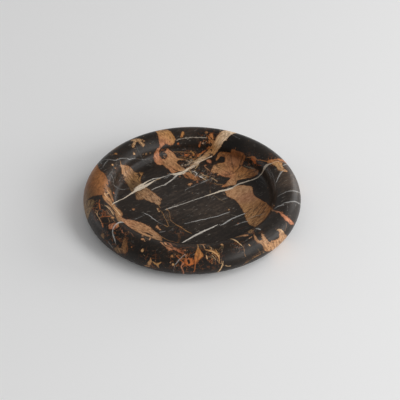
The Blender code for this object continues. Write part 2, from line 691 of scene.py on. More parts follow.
# Fine pale veins that cross the others and the patches.
CROSSING_VEINS = read_lines(
    """
PALE 0.55 0.9: -8,77 -5,84 -3,91;
WHITE 0.55 0.9: -4,79 -1,87 2,96;
CREAM 0.5 0.9: 1,85 4,93 6,100;
PALE 0.4 0.8: -11,70 -13,77 -14,83;
CREAM 0.75 1.6: -52,44 -49,46 -46,48 -44,49;
CREAM 0.5 0.9: -1.5,61.5 1.5,58.5 3.5,55.5;
PALE 0.6 1.2: 3.8,61.5 5,59 6.5,57;
CREAM 0.6 1.2: 20,53 20.3,50.5 20,48;
GREY 0.3 0.7: 25,12 24,4;
GREY 0.3 0.7: 28,11 29,3;
CREAM 0.4 0.9: 31,12 39,3 46,-3;
GREY 0.3 0.7: 24,16 19,21;
CREAM 0.4 0.9: 27,15 27,23;
GREY 0.4 1: -141,39.5 -138.5,41 -136.5,43 -136,46;
GREY 0.4 1: -117,42 -115.5,36 -114,31;
PEACH 0.35 1.6: 141,-82 142,-88 140.5,-94;
PALE 0.6 1.3: 123,55 125.7,56.3 128.2,57.2 131,58 134.5,58.8 137.5,58.7 140,57.5;
GREY 0.42 1.2: -112,22 -104,23.5 -97,24 -90,25.5;
PALE 0.5: 76,-41,0.8 80,-38,1.2 85.5,-34.5,1.3 91,-32.5,1.3 97,-30.7,1.1 103,-29,0.9;
GREY 0.3 0.9: 143,-45 143.6,-52 143,-59;
GREY 0.4 1.1: 129,42.5 132.5,41;
PALE 0.35 0.9: 47,-28.5 54,-30.5 62,-33.5;
GREY 0.25 0.7: 96,46 100,38 104,32;
GREY 0.22 0.7: 92,44 95,36 101,28;
GREY 0.4 1: 122.7,45.9 126.1,32.8 128,16 127.5,2;
GREY 0.35 0.9: 118.1,49.7 120.9,33 122.5,13 123,-6;
SAGE 0.36: 114,54,1.8 114.3,49,1.3 115,38,0.8 116,24,0.8;
GREY 0.22 0.7: -96,118 -84,96 -70,84 -56,78;
GREY 0.3 0.9: 40,168 52,150 66,128 78,118;
GREY 0.4 1.2: 150,92 140,104 128,112 116,124;
"""
)

# Gold, orange and cream threads.
THREADS = read_lines(
    """
ORANGE 0.75 1.2: -137,-36 -138,-42 -136.3,-50;
PEACH 0.95: -142.5,-59,0.8 -140.5,-65,1.2 -138,-69.5,1.4 -136,-73,1.4 -133.5,-79,1.6 -131.3,-84,1.3
  -130.6,-90,0.8;
ORANGE 0.9 2: -129.5,-86 -129.3,-92;
ORANGE 0.95 1.6: -131.5,-74 -125,-74.2 -120,-75;
RUST 0.5 0.9: -144,-50 -146,-60 -144,-68 -140,-78;
ORANGE 0.6 0.9: -132,-58 -129,-64 -130,-72;
TAN 0.6 0.9: -126,-60 -124,-68 -119,-73;
ORANGE 0.55 0.8: -136,-57 -131,-60 -127,-66 -126,-74;
BROWN 0.6 1: -130,-86 -124,-88 -118,-88;
TAN 0.5 1.2: -122,-80 -119,-86;
CREAM 0.8 1.7: -127.5,-15 -126,-12 -124.5,-9;
CREAM 0.92: -130,-47.5,1 -126.5,-50,1.6 -123,-53.5,1.8 -120,-58.5,1.8 -117.5,-63.5,1.8 -115.3,-68.5,1.4;
PEACH 0.85: -125,-46,0.9 -121,-50.5,1.3 -117.3,-56,1.4 -114.2,-62,1.1;
CREAM 0.95 2: -131.5,-17 -129.3,-21.3 -122.4,-25.4 -111.5,-22.1 -102.3,-24.5 -97,-33;
PEACH 0.9 2: -127.5,-6 -117.5,-6.4 -109,-7.5;
ORANGE 0.7 1.3: -131,-26 -124,-31 -116,-31;
TAN 0.9: -111,66.5,0.9 -109.5,62,1.6 -107.5,58.5,2;
SALMON 0.85: 119,-49,1 122,-55,1.3 125,-60.5,1.5 129,-63.5,1.8 132,-66,2;
CREAM 0.85 1.5: -139.5,-64 -138,-68;
CREAM 0.8 1.6: -136,-73 -134.5,-77;
ORANGE 0.9 1.9: -137,-45 -136.2,-51 -135,-57;
PEACH 0.85 1.2: -141.5,-57 -138.2,-60.7 -139,-66;
PEACH 0.75 0.9: -125.5,-62 -122,-68 -117,-74;
ORANGE 0.8 1: -133,-66 -130.5,-69.5 -132,-74;
TAN 0.7 1.2: -119,-76.5 -115,-82 -112,-87;
ORANGE 0.8 1.6: -131.5,-82 -130,-87;
GOLD 0.8 1: -46,-69 -43,-73 -39,-77.5 -35,-81 -31,-84 -26,-86.5;
BROWN 0.6 1: -26,-85.5 -22,-88 -17,-89.5;
GOLD 0.8 1.8: -107.5,-90 -107,-94 -106,-98;
GOLD 0.75 0.9: -26,106 -20,106.6 -10,107 0,107 8,107.4;
ORANGE 0.7 1.1: -4,103.5 4,102 12,104 20,108;
GOLD 0.6 0.9: -18,100 -10,98 -2,96 6,97 13,101;
BROWN 0.8 1.6: 2,96 5,94 8,97;
GOLD 0.8 1.1: 33,39 36,36.5 40,35.6 45,36;
PEACH 0.95: -22,96.5,2.4 -17,95.5,1.8 -11,94.3,1.2;
BROWN 0.6 0.9: 24,42 31,38 38,33 44,30;
BROWN 0.9: 86,85,1.2 90,83.5,1.8 94,82.5,2.4 98,80,2.6 101,76.5,2 103,73,1.6 108,71,1.6 113,67,1.8
  117.5,63.5,2 122,61.5,2;
RUST 0.7 1.4: 98,72 100,68 103,65 108,62;
ORANGE 0.85 1.6: -21,-157 -18,-159.5 -16,-162 -13,-164.5 -10,-166.3;
BROWN 0.7 1: -20,-154 -14,-157.5 -9,-161.5;
SALMON 0.9: -42,-121,1 -38,-125,2 -34,-130.5,2.6 -30,-136,2.4 -27,-141,1.4;
ROSE 0.8 1.1: -38,-120.5 -32.4,-125.5 -26.5,-132.5 -20,-140;
SALMON 0.85: -10,-167,2 -13,-169,2.2 -14.5,-172,2.4 -13,-176,2.4 -12,-180,2 -13,-190,1.6;
CREAM 0.95: 56,-119,2.6 59,-123,2.8 62,-127,2.8 65,-130,2.6 68,-133,2 70,-135,1.6 73,-137.2,1.6;
TAN 0.5: 75,-139,1 76.5,-143,1.2 77.5,-147,1 80.5,-150.5,1.2;
GOLD 0.8 0.9: 112,-137 104,-143.5 97.4,-149 91,-155.5 86,-161 81,-169.5;
BROWN 0.35 0.8: 108,-136 101,-141.5 94,-147.5 88,-153.5 83,-160;
BROWN 0.75: 116,-36,1.4 119,-44,1.8 122,-53,2 124.5,-60,1.6 127.5,-66,1.4;
PEACH 0.75 2.2: 123,-39 124.5,-43;
PEACH 0.75 1.8: 120.5,-54 122.5,-59;
PEACH 0.9 1.9: 15,-129 17,-135 18,-140 19.5,-145;
PEACH 0.9 2.8: 10,-134 15,-135 20,-135;
GOLD 0.8 1.6: 26,-142 29,-146;
GOLD 0.9: 8.8,-128,1 9,-136,1.6 10,-142,2.2 10.5,-147,2.4;
ORANGE 0.85: 6.5,-165,2 6,-170,1.7 5.5,-176,1.5 3.5,-182,1.3;
CREAM 0.85 1.1: 30,-156 33,-158.5 36,-161.5;
BEIGE 0.7 0.9: 27,-157.5 30,-160.5 32.5,-164;
CREAM 0.9 1.8: 22,-156.5 23.5,-160.5;
OLIVE 0.6 1: 47,-138.5 46.3,-144 44.5,-150;
TAN 0.8 1: 19,-146.5 22,-149.5 26,-150.5;
BEIGE 0.5 0.9: 24,-139 27,-142 30,-145;
GOLD 0.97: 21,-147.5,1 25,-149,1.5 28,-149.8,2.8 31,-150.8,3.4 34,-152,3 37,-154,2.6 39.3,-156.5,2.2
  40.5,-160,2 41,-165,1.2;
CREAM 0.9 1.3: 29.4,-145 29.6,-150;
GOLD 0.9 1.1: 34.5,-147 38,-151.5 41,-156;
OLIVE 0.75 1.6: 41,-146 43.5,-143 46.5,-139;
SAGE 0.5 1: 43,-151 45,-149 44.3,-145.5;
CREAM 0.92: 46.7,-162,1 46.6,-167,1.6 46.2,-172,2.2 45.4,-178,2.6 44,-184,2.4;
CREAM 0.85 1.5: 52,-168 56,-169 61,-168;
TAN 0.93: -58.4,-155.4,0.7 -60,-158.8,2.8 -61.5,-161,4.6 -62.8,-162.6,6.2;
TAN 0.93: -74,-166.8,1.4 -70,-167.3,3 -65.5,-168.6,1.8;
GOLD 0.93: -57,-161.3,1.2 -54.5,-163.8,2.8 -52,-166,3.4 -49.5,-166.3,3 -46.5,-165,2.2 -44,-163.5,1;
TAN 0.9 2: -51,-167 -49.6,-171.5;
TAN 0.75 1.1: -45,-8 -44,-12 -42,-15.5;
CREAM 0.85 1.4: -46.5,-17 -45.5,-20 -43.8,-24.5;
RUST 0.8 0.9: -44.5,-17 -43.3,-21;
GOLD 0.9 1.4: -33,-17 -33,-21;
TAN 0.7 1: -31.5,-20 -30,-25 -29,-30 -28.6,-36 -27.8,-40.5 -26,-45 -23,-48.5 -20,-52;
GOLD 0.75 1: -42,-22 -40,-25 -38.5,-28.5 -37.5,-32.5 -35.5,-38 -33.7,-43 -31.7,-48 -30.3,-55;
BEIGE 0.6 0.8: -37.5,-28.5 -34.5,-29.5 -31.5,-34 -31,-38.5 -28.7,-43;
SAGE 0.5 0.8: -41,-23 -37.5,-22 -34,-19;
GOLD 0.8 1.2: -37,-52 -34.5,-54.3 -31.7,-56.5;
OLIVE 0.6 0.9: -31,-55 -26,-55.7 -21,-54.6;
GOLD 0.9: -20,-52,1 -17.5,-54,1.5 -14,-56.5,1.7 -12,-58.7,1.4 -9.5,-61.5,1.1 -7,-64,1.4 -4,-66.5,1.4
  -1,-68.6,0.8 1.6,-71,0.6;
BROWN 0.22 3.4: -17,-70 -15.5,-78 -16,-87;
BROWN 0.5 1.2: -17,-82 -15,-87;
PEACH 0.9 2.2: -59,-113 -59,-120 -60,-127.5;
PEACH 0.55 2.6: -71,-104 -70.5,-112 -71,-118.5;
SAGE 0.4 1.4: -66.8,-120 -65,-125.5;
PEACH 0.7 1.5: -68,-127.5 -66.5,-130.5;
ROSE 0.5 1.3: -88,-111 -85.3,-116 -83.3,-120;
SALMON 0.75 1.6: -100.5,-105 -100,-109.5 -98.5,-112;
TAN 0.5 1.6: -107,-132 -103,-134.5 -99,-137.5;
TAN 0.6 1: -91,-108 -90.7,-112.5;
PEACH 0.85 1.4: 84,-124 86,-122 88,-120;
BEIGE 0.45 1.1: 98,-136 104,-140 110,-137;
RUST 0.3 0.8: 64,-62 70,-58 76,-55;
RUST 0.5 1: 88,-64 96,-52 108,-38 116,-24;
ORANGE 0.6 1.2: -38,168 -30,160 -20,152 -8,150;
BROWN 0.55 1.4: -150,70 -146,84 -136,96 -130,110;
"""
)

# Dark cracks in the patches.
CUTS = read_lines(
    """
GREY 0.9: -26,72,1 -23,68.7,2 -19,66.3,1.8 -16.5,65.8,0.8;
GREY 0.45 0.9: -31,82 -27,75 -24.5,71;
GREY 0.4 0.8: -14,76 -17,72 -21,69;
GREY 0.5 1.8: -83,62 -81,53 -82.5,44;
GREY 0.97: -78,59,1 -74,58.5,3.4 -72.8,55.5,3.2 -73.8,52,1.4 -75,46,1;
GREY 0.7 2: -74.3,61.5 -72.7,57.5;
GREY 0.4 1: -89,50 -85,42 -80,34;
GREY 0.4 0.8: -70,22 -62,12 -52,2;
GREY 0.4 0.8: -63,22 -56,13 -47,0;
GREY 0.35 0.8: -72,14 -64,6 -50,-4;
GREY 0.55 1.1: 62,40 63,50 65,60 67.5,70 70,80;
GREY 0.42 1: 66,47 70,58 75,68;
GREY 0.6 1.6: 68.1,50.2 78.5,54.2 89,53;
GREY 0.8 1.6: 69,74 73,77 78,80;
GREY 0.9 1.5: 77.8,78.2 83,73.6 90,70;
GREY 0.85 1.3: 46,50 49,54.5 51.5,59;
GREY 0.6 1.5: 55.4,60.8 44,71.1 33.8,79.9;
GREY 0.65 1.5: 62,63 55,57.5 44,58.6;
GREY 0.6 1.5: 60.9,71.2 58.8,86.3 59.1,97.4;
GREY 0.75 1.8: 62,62.9 68.9,74.9 72.9,84 81.4,91.1;
GREY 0.75 1.7: 65.6,52.2 76.1,58.6 87,61.9 98.4,60.7;
GREY 0.85 1.3: 35,83.5 38.5,79.5 43,78;
GREY 0.85 1.5: 74,-29 77,-25 80,-21.5 83,-18;
GREY 0.7 1.5: 82,-33 87,-23 92,-14 97,-6;
GREY 0.7 1.6: 86,-37 92,-26 97,-16 101,-8;
GREY 0.7 1.6: 91,-38 97,-28 102,-18 105,-11;
GREY 0.5 1.4: 77,-33 82,-26 88,-18 94,-10;
GREY 0.6 1.5: 78,-41 85,-37 93,-32 101,-25;
GREY 0.6 1: 80,-45 88,-41 97,-35;
GREY 0.6 1: 83,-50 90,-46 99,-40;
GREY 0.5 0.9: -6,73 -2,78 2,82.5 6,87 9.5,92 13,97.5;
GREY 0.4 0.9: 3,78 8,82 12,87;
GREY 0.6 0.9: 11,99 16,103.5 21,107;
GREY 0.6 1: 12,98 17,101 22,104;
GREY 0.95: 22,96,1 25,98.5,1.8 29,101,2.2 33,103,1.2;
GREY 0.7 1.8: 26,104 27.5,103.3 29,103.8;
GREY 0.4 0.9: 22,109 29,105.5 37,111 45,118;
GREY 0.4 0.9: 33,115 40,122 48,131 56,139;
GREY 0.35 0.9: 42,112 50,120 60,129;
GREY 0.95 1.8: -41,-131.5 -38.7,-137 -35.5,-141;
GREY 0.6 1: -34,-142 -28,-144.5 -20,-147.5 -13,-152;
GREY 0.5 0.7: -30,-145 -24,-147 -17,-150.3 -11,-153.6;
GREY 0.95: -62,-68,1.4 -59,-70,3.2 -56.6,-71.7,3.4 -51.6,-75.2,1.8;
GREY 0.7 1: -48,-117.5 -43,-120.5 -38,-123;
GREY 0.45 1: -82,-53 -75,-58 -69,-63;
GREY 0.5 1.1: 104,-117 108,-121 114,-124;
GREY 0.5 1: 99,-126 106,-127.5 114,-131;
GREY 0.5 1: 112,-121 120,-124.5 130,-122;
GREY 0.75 1.6: 87,-106 87.3,-112;
GREY 0.5 0.9: 134,56 136,48 139,41;
GREY 0.9 1.7: 130,61 135,60.8 138,60.3 141.5,58.5;
GREY 0.4 0.8: 10,-148 12,-154 10,-160;
GREY 0.6 1: 33,-148 36,-151.5 39,-155;
GREY 1 4.4: -128.9,-12 -122,-15.6 -116,-15 -111,-14.1 -109,-13;
GREY 0.9 2.4: -129.5,6.5 -127.5,5;
GREY 0.9 2.4: -133,-5 -131,-6.5;
GREY 0.8 2.6: -126,-33 -118,-36 -110,-34 -104,-34;
GREY 1 3.6: -4,-164 -2.8,-166.6;
GREY 1 2.6: 30.2,109.3 31,108.5;
GREY 0.9 2.6: 36.8,61.6 38,60.6;
GREY 0.9 1.6: 45,51 47.5,50.6;
GREY 0.55 1.3: -116,-56 -112,-70 -109,-84;
GREY 0.6 0.9: 96,-127 104,-126 112,-130;
GREY 0.6 0.9: 103,-116 107,-119 112,-121;
GREY 0.6 1: 120,-120 128,-118 138,-112;
GREY 0.6 1: 122,-127 132,-122 142,-112;
GREY 0.6 1: 131,-99 137,-102 142,-108;
"""
)

# The gold and tan patches: tint, weave and run; corners; and other tints with their places.
PATCHES = tuple(
    Patch.read(*row)
    for row in read_rows(
        """
UMBER 0.2 80: -147,62 -144.5,57 -144,50 -143,42 -140,35.5 -136.5,32 -133,27 -130,21.5 -127.3,15 -126,9
  -126.3,3 -127.5,-4 -129,-11 -130.5,-18 -135,-23 -140,-26 -148,-26 -156,-28 -164,-29 -176,-27 -188,-8
  -186,20 -176,42 -160,58 -152,65: BRONZE -135,14 BRONZE -134,0 BROWN -146,50 BRONZE -140,30 UMBER
  -142,-16 MUD -156,-20 UMBER -133,-18;
OLIVE 1 70: -160,-29 -150,-30 -144,-36 -145,-46 -150,-56 -160,-62 -170,-55 -178,-42 -176,-30: BEIGE
  -165,-45;
MUD 0.6 124: -110,60 -107,62 -103,63 -97,66 -92,67.5 -88,68 -84,64.3 -80,62.5 -76,62.6 -71,63.2 -66.3,64
  -68.3,60 -69.8,55 -71.2,49 -70.8,43 -70,38 -66,33 -62,29 -55,20 -52,18 -48,12 -44,7 -40,3 -40.5,1
  -42,-1 -41,-5 -42,-9 -44,-11 -48,-8 -52,-5 -56,-3 -62,1 -66,3 -71,1.5 -76,2 -77,8 -78,14 -80,18 -84,20
  -86,26 -88,32 -91,38 -94,43 -96,47 -97,51 -100,50 -104,51 -106,55 -109,58: SAND -99,59 HAZEL -86,62
  SAND -50,4 FAWN -62,12 BEIGE -75,46 MUD -80,28 GOLD -72,54;
GOLD 0.36 128: -58,139 -52,143 -45,145 -38,144 -34,139 -30,134 -27,128 -25,124 -26,119 -30,115.5 -34,115
  -39,117 -43,115 -46,111 -48,106 -48,102 -46,97 -43,94 -40,92.5 -36.5,94 -33.7,98 -35.5,102 -38,105
  -38,109 -35,110.5 -32.5,107.5 -28,106.5 -24,103 -21,98.5 -18,95.5 -11,95.5 -10.5,93 -17,92 -20,90
  -21,86 -18,82 -14.5,77.5 -10,73.5 -8,71 -10,68 -14,65.5 -19,65 -22,63.5 -23,61 -27.5,61 -28.5,64
  -30,67.5 -33,72 -37,76 -39.5,80 -41,82.5 -45,79.5 -49,83 -53,88 -55,94 -55,101 -52,107 -49,111 -51,116
  -52,122 -53,128 -54,133: TAN -42,134 SALMON -52,90 PEACH -33,84 SALMON -50,102 SALMON -25,66 GOLD
  -14,68 PEACH -28,96 SALMON -42,116 GOLD -30,130;
TAN 0.42 58,30: 35.5,90.5 36,95 38,98 39,102 43,104.3 50.3,102.8 57,100.8 60.5,100.3 63,104 67.5,102.8
  71.5,100 77,97 82,92 84.5,88 83,85 78.5,83 75,80 73.5,75.5 78,71.5 83,68 88,66 93,64 97.5,60.5 99,57
  96,54 90,53 84,51.5 79,49.8 74,48 67,46 64.5,44 64,40 63,35 60,33.5 54,33 50,31 45,29 43,31.5
  47.5,35.5 50.5,39 51.5,44 54.5,47.5 56.5,50 54.5,51.8 51,52.5 47,53 43.5,55 40.5,57.5 38,54 37,60
  35.6,63.1 33.8,61.6 31.9,59 29.5,62.9 28.5,69 31,76.6 35,82 40,85 43,85.8 47.5,86.5 49.3,90 49.5,95
  46,98 42.5,97.3 39.5,95 37.3,91.5: SIENNA 62,96 PEACH 32,72 PEACH 56,38 UMBER 86,58 TAN 44,76 SIENNA
  74,92 BROWN 66,72 SALMON 52,59 TAN 70,56 BROWN 45,102 ROSE 58,82 BROWN 78,62;
FAWN 0.12 52: 48,22 53,24 60,30 64,33.5 70,34.5 75,34 78,33 82,32.5 85.5,31 86.7,26 86.7,17 88.5,11 92,6
  97,1.5 102,-3 106,-9 108,-20 96,-22 82,-24 71.5,-25 70,-19 67.5,-11 64,-3 60,2 55,6.5 50.5,8.5 49,12
  47.5,18: FAWN 68,24 ROSE 78,6 HAZEL 84,-8 PEACH 58,16 TAN 78,-20 BROWN 100,-8;
TAN 0.45 52: 68,-11 78,-9 90,-7 101,-3 106,-9 110,-19 113,-26 117,-40 118,-50 114,-62 107,-74 99,-84
  94,-90 90,-88 92,-76 93,-66 90,-60 85,-55 80,-53 77,-47 75,-41 74,-35 73,-30 71.5,-24 70,-18: TAN
  88,-26 TAN 84,-44 BROWN 100,-24 TAN 92,-44 BROWN 104,-60;
FAWN 0.55 150: 127,-99.5 129.5,-97 133,-95.5 139,-97 143,-97.5 150,-96.5 158,-95 176,-88 182,-96
  172,-118 154,-132 140,-130 134,-129 127,-131.5 120,-134 113,-135.5 108.5,-134.5 106.5,-131 102,-128.5
  99,-127.5 96,-129.5 93.5,-127.5 91.5,-122 90,-116 91.5,-113.5 93.5,-119 96.5,-124 99.5,-124.5 103,-122
  104.5,-119.5 101.5,-119.7 103,-117 101,-113.5 101,-111.5 104,-112.5 106.5,-115.5 110,-119 115,-121
  119,-121.5 117,-118.5 121,-117.5 125,-114.5 130,-111.5 132.5,-107.5 130,-103.5 131,-101: FAWN 98,-124
  PEACH 120,-126 FAWN 140,-106 HAZEL 165,-110 HAZEL 116,-131;
CREAM 0.35 110: 118,63.3 122,65 126.7,64.2 133,63.3 135,67.5 140,68.5 150,72 158,64 150,61 141.7,62
  138.5,59 141,55 141,47.5 143.5,41 147.5,37 149,34 147,30.5 143,33.5 138,35 134,39.5 133,46.5 128.3,52
  125,55.8 120,58.3: CREAM 134,49 ORANGE 124,62 GOLD 131,56 ORANGE 140,67 PEACH 142,38;
ORANGE 0.5 122: 92,82 97,82.5 101,79.5 102,76 100,72.5 97.5,69 95.5,71 95,75 92.5,78;
TAN 1 128: -11.5,64 -6,63.8 -1.8,62.4 3,58.5 6.1,55.4 10,52 12.5,49.5 11,46.5 7,44.5 2,44 4.5,46 0,48
  -5.6,49.3 -10.8,54.4 -12.5,59: BROWN -4,56 SALMON -9,61;
BROWN 0.6 122: -7,62 -4,65 -2,63 -3,60.5 -6,60;
SALMON 0.4 122: -17.5,54.5 -15.5,56 -14,54 -14.5,51.5 -17,52;
PEACH 0.4 122: -4,34.5 -3.5,38 -1,39.5 2,38.5 2,36.5 0,35 -1,33;
FAWN 0.4 145: -104,-17 -100.5,-18.5 -97,-22.5 -94,-27 -93,-31.5 -94.5,-36 -92,-39.5 -87,-41 -80,-42
  -76,-44 -71,-46 -66,-49 -61,-52.5 -56,-56.5 -52,-61 -48.5,-66 -45,-70.5 -41.5,-75 -38.5,-80 -38,-92
  -38,-104 -39,-113 -40.5,-119.5 -44,-122 -49,-119.5 -53,-110 -54.5,-98 -56,-86 -59,-78 -66,-74 -78,-67
  -90,-58 -98,-48 -103,-38 -105,-28 -106,-21: HAZEL -100,-28 PEACH -75,-56 PEACH -58,-64 PEACH -84,-46
  FAWN -46,-76 SALMON -90,-54 SALMON -44,-118;
HAZEL 0.6 170: -134,-20 -131,-6 -128,2 -123,5 -117,3.5 -111.5,1.5 -108.5,-6 -107,-14 -103,-18 -99,-24
  -101,-32 -102.5,-40 -106,-45 -112,-47 -121,-44 -127,-39 -132,-33 -134,-27: TAN -122,-26 MUD -119,0 TAN
  -108,-20 HAZEL -112,-34 BROWN -128,-14 HAZEL -121,-38;
BEIGE 1 70: -107,-42 -103,-40 -101,-50 -99,-62 -98,-74 -101,-84 -107,-88 -110,-80 -112.5,-70 -114,-60
  -111,-50: HAZEL -108,-60;
ROSE 0.5 80: -121,-92 -119,-90 -116,-91 -113,-88 -110,-90 -107,-92 -106,-96 -108,-101 -111,-103.5
  -115,-101 -118,-101 -120.5,-98: SALMON -112,-93;
BEIGE 0.8 122: -136,-100 -131,-100 -128,-104 -132,-109 -136,-105;
MUD 1 80: -120,-130 -113,-127 -107,-130 -103,-133 -99,-128 -98,-121 -94.5,-119 -92,-123 -91.5,-130
  -92,-137 -95,-142 -101,-142 -107,-140 -113,-138 -119,-135: BEIGE -110,-132 UMBER -95,-136;
SALMON 0.6 145: -45.5,-131 -43,-131 -41,-134 -39,-129 -37,-131 -34.5,-137 -31.5,-141 -27,-141.5
  -23,-144.5 -18,-147.5 -12,-151 -8,-154 -7.5,-155.5 -9.5,-156.5 -13,-154.5 -18,-151.5 -22,-149
  -26,-148.5 -30,-149.5 -33.5,-147 -35.5,-143 -40,-140 -44,-135: PEACH -43,-134 RUST -12,-153 ROSE
  -24,-147;
RUST 0.6 122: -10.5,-163.5 -8,-161 -4,-159.8 1,-160.3 4.5,-162 5,-165.5 3,-169 -1,-171.5 -6,-170
  -9,-167.5: ORANGE 1,-168 ORANGE -6,-162 ORANGE 4,-163;
BROWN 0.45 95: 10,-143 12.5,-147.5 14.5,-152 18.5,-155.5 18,-158 14.5,-159.5 12,-163 10.5,-166 7,-167
  4.5,-165 4.5,-160 6,-154 8,-148: GOLD 10,-150 BROWN 12,-159 ORANGE 8,-163;
TAN 0.4 0: 63,-119.5 66,-114.5 75,-114.3 82,-115 84.3,-117.5 82.5,-119.7 74,-120 68,-120.3: PEACH
  83,-117 BEIGE 64,-118;
TAN 0.4 92: 83,-98 83,-108 84.5,-112 87,-114 89.5,-112 90,-104 89.5,-96 86,-92: BEIGE 86,-97;
BROWN 0.7 62: 100,-72 104,-64 109,-56 113,-50 116,-54 113,-64 108,-76 102,-84 98,-82: ROSE 110,-58;
ROSE 0.5 150: 130.5,-64 134,-66.5 138,-69.5 143,-71.5 147,-71 151,-72.5 158,-71 160,-74 155,-77
  149.5,-79.5 144,-78 140,-78.5 136,-75.5 133,-71.5 130.5,-67.5: SALMON 148,-75 SALMON 134,-68;
ORANGE 0.4 122: -17,133 -15,138 -12,139 -10.5,134 -12.5,130.5 -14.5,126.5 -17.5,128.5: GOLD -13,136;
ORANGE 0.4 122: 11,115 12.5,120 15,123.3 17,121.5 14.5,118 13.5,114;
RUST 1 122: 28,130 31,135 34.5,135.5 36,129 36,124 37,121 34,117 30.5,121.5 28,117 26.5,121 28,124.5:
  ORANGE 32,131 GOLD 34,124;
TAN 0.7 122: 21,136 24,140 27.5,138 27,134 24,133.5;
GOLD 0.4 122: 0.5,107.5 3.5,107.5 6.5,104 5,102.3 2.5,103;
SALMON 0.4 122: -10.5,102.5 -8,104.5 -5,103.8 -4.5,101.3 -9,100.7: ORANGE -6,103;
SALMON 0.4 122: 22,90 24.5,94 28,93.5 30,89 29.5,84.5 26.5,84.5 23.5,87;
FAWN 0.75 122: -97,118.5 -93,117.5 -90,118.5 -87,120.5 -84,119 -80.5,117.3 -77,116.5 -73.5,115.5 -74,113
  -78,113 -79.5,112.5 -78.5,111.3 -76.5,110 -74.5,108.5 -73.8,105.8 -76,103.8 -79.5,105 -82,107 -84,109
  -85.5,111 -87.5,109.5 -88.2,107 -89,103 -90,99 -91.7,96.5 -93.5,98 -94.5,102 -92.5,105 -91.3,108.5
  -92.5,112 -95,114: SAND -84,115 CREAM -92,101 CREAM -76,106 CREAM -92,114 BEIGE -80,110;
OLIVE 0.7 50: -125,84 -122,91 -117,97 -112,103 -110,108 -106,112 -104,116 -112,114 -120,106 -126,96;
PEACH 0.4 122: -48.5,-56 -47,-53.7 -45,-54 -43,-59 -40,-62.5 -40.5,-65 -43.5,-62.5 -46.8,-58.8;
ORANGE 0.4 122: 14,103 20,107 26,111 31,115 28,115 22,111 16,107 13,105;
CREAM 0.28 44: -14,60 -8,64 -1.5,69.5 3,74 7,78.5 11,83.5 14.5,88.5 20.5,93 25,96 29,98 33,101
  37.5,104.5 44,109.5 50,116 57,120.5 66,130 80,144 96,158 104,172 96,182 84,172 72,160 58,147 48,137.5
  42.5,129 37.5,122.5 34.5,117 28.5,112.5 23.5,107.5 16,101 11,95.5 6,89 2,83.5 -2,78.5 -6,73.5 -10,68.5
  -14,64: IVORY -8,68 TAN 2,77 IVORY 13,90 CREAM 20,98 BROWN 28,104 GOLD 32,110 CREAM 46,120 IVORY
  60,132 CREAM 70,146 TAN 92,168 IVORY 50,118 GOLD 36,116 PEACH 44,128 CREAM 52,141;
GOLD 0.4 122: -120,150 -108,158 -96,160 -84,156 -80,162 -92,172 -104,172 -116,164 -124,158: BROWN
  -96,166;
TAN 0.4 122: -14,160 -2,166 12,166 24,172 20,184 6,188 -8,180 -16,170: PEACH 4,176;
BROWN 0.4 122: 168,62 176,68 184,58 186,44 180,34 174,44 168,52: GOLD 178,50;
PEACH 0.4 122: 136,128 146,122 154,112 160,116 150,128 140,138 132,140;
"""
    )
)

# Single flecks of each tint: x, y and radius.
SPOTS = tuple(
    Spot(Tint[tint.strip()], *spot)
    for tint, spots in read_rows(
        """
PALE: -12.5,79,1.5 -8,81,1.2 -3,89,1.4 18.6,120.2,1.5 -7.5,-157.5,1.3;
SAGE: 0.5,92.3,1.1;
GOLD: -118,78.5,1.9 12.3,104,1.4;
CREAM: -89.5,87.6,1.8 -122.2,53,1.3 -26,-168,1.9 44.5,-138,1.9 83.7,-134,1.2 -70,-144,2.3 52.3,-20,1.4;
BEIGE: -69,95,1.9 17.5,-175,1.6 -140,-52.5,1.4;
OLIVE: -62,98,1.4;
TAN: -118.2,49,1.4 -0.5,98.5,1.8 24.5,53,1.9 -27,-157,2.1 -116,-77,2.4;
PEACH: -79,-19.5,1.9 -70,-126,2.3;
SALMON: -111.5,-9,2.2 -110,8.5,1.8 21,80,1.2 9,54,1.4 9,41.5,1.5 64,-49,1.4;
ORANGE: -20,119,2 10,101.3,1.8 46.5,33.5,1.5;
BROWN: -86,-136,1.2;
ROSE: -95.5,-114,1.2;
"""
    )
    for spot in read_path(spots)
)

# Crushed areas: x, y, reach, amount of gold and amount of white.
ZONES = tuple(
    Zone(*row)
    for row in read_path(
        """
-2,90,16,0.9,1 -4,101,12,0.9,0.2 16,58,20,0.45,0.78 4,66,12,0.3,0.9 30,44,14,0.4,0.5
  -132,-64,20,0.38,0.2 -42,102,10,0.8,0.1 -144,-48,18,0.6,0 -118,18,20,0.2,0.2 -112,40,28,0.1,0.25
  -110,-112,26,0.6,0 -60,-163,20,0.5,0.1 -8,-164,24,0.9,0.1 28,-160,18,0.7,0.1 88,76,16,0.6,0.3
  -34,-40,18,0.25,0.2 26,126,14,0.8,0 90,-106,14,0.5,0.2 66,-137,12,0.4,0.3 118,-60,14,0.6,0.2
  -124,96,20,0.3,0.1 -96,-48,16,0.4,0 -120,-30,14,0.6,0.1 132,62,18,0.6,0.2 -15,-66,12,0.5,0.1
  20,168,30,0.5,0.2 -150,120,40,0.4,0.2
"""
    )
)
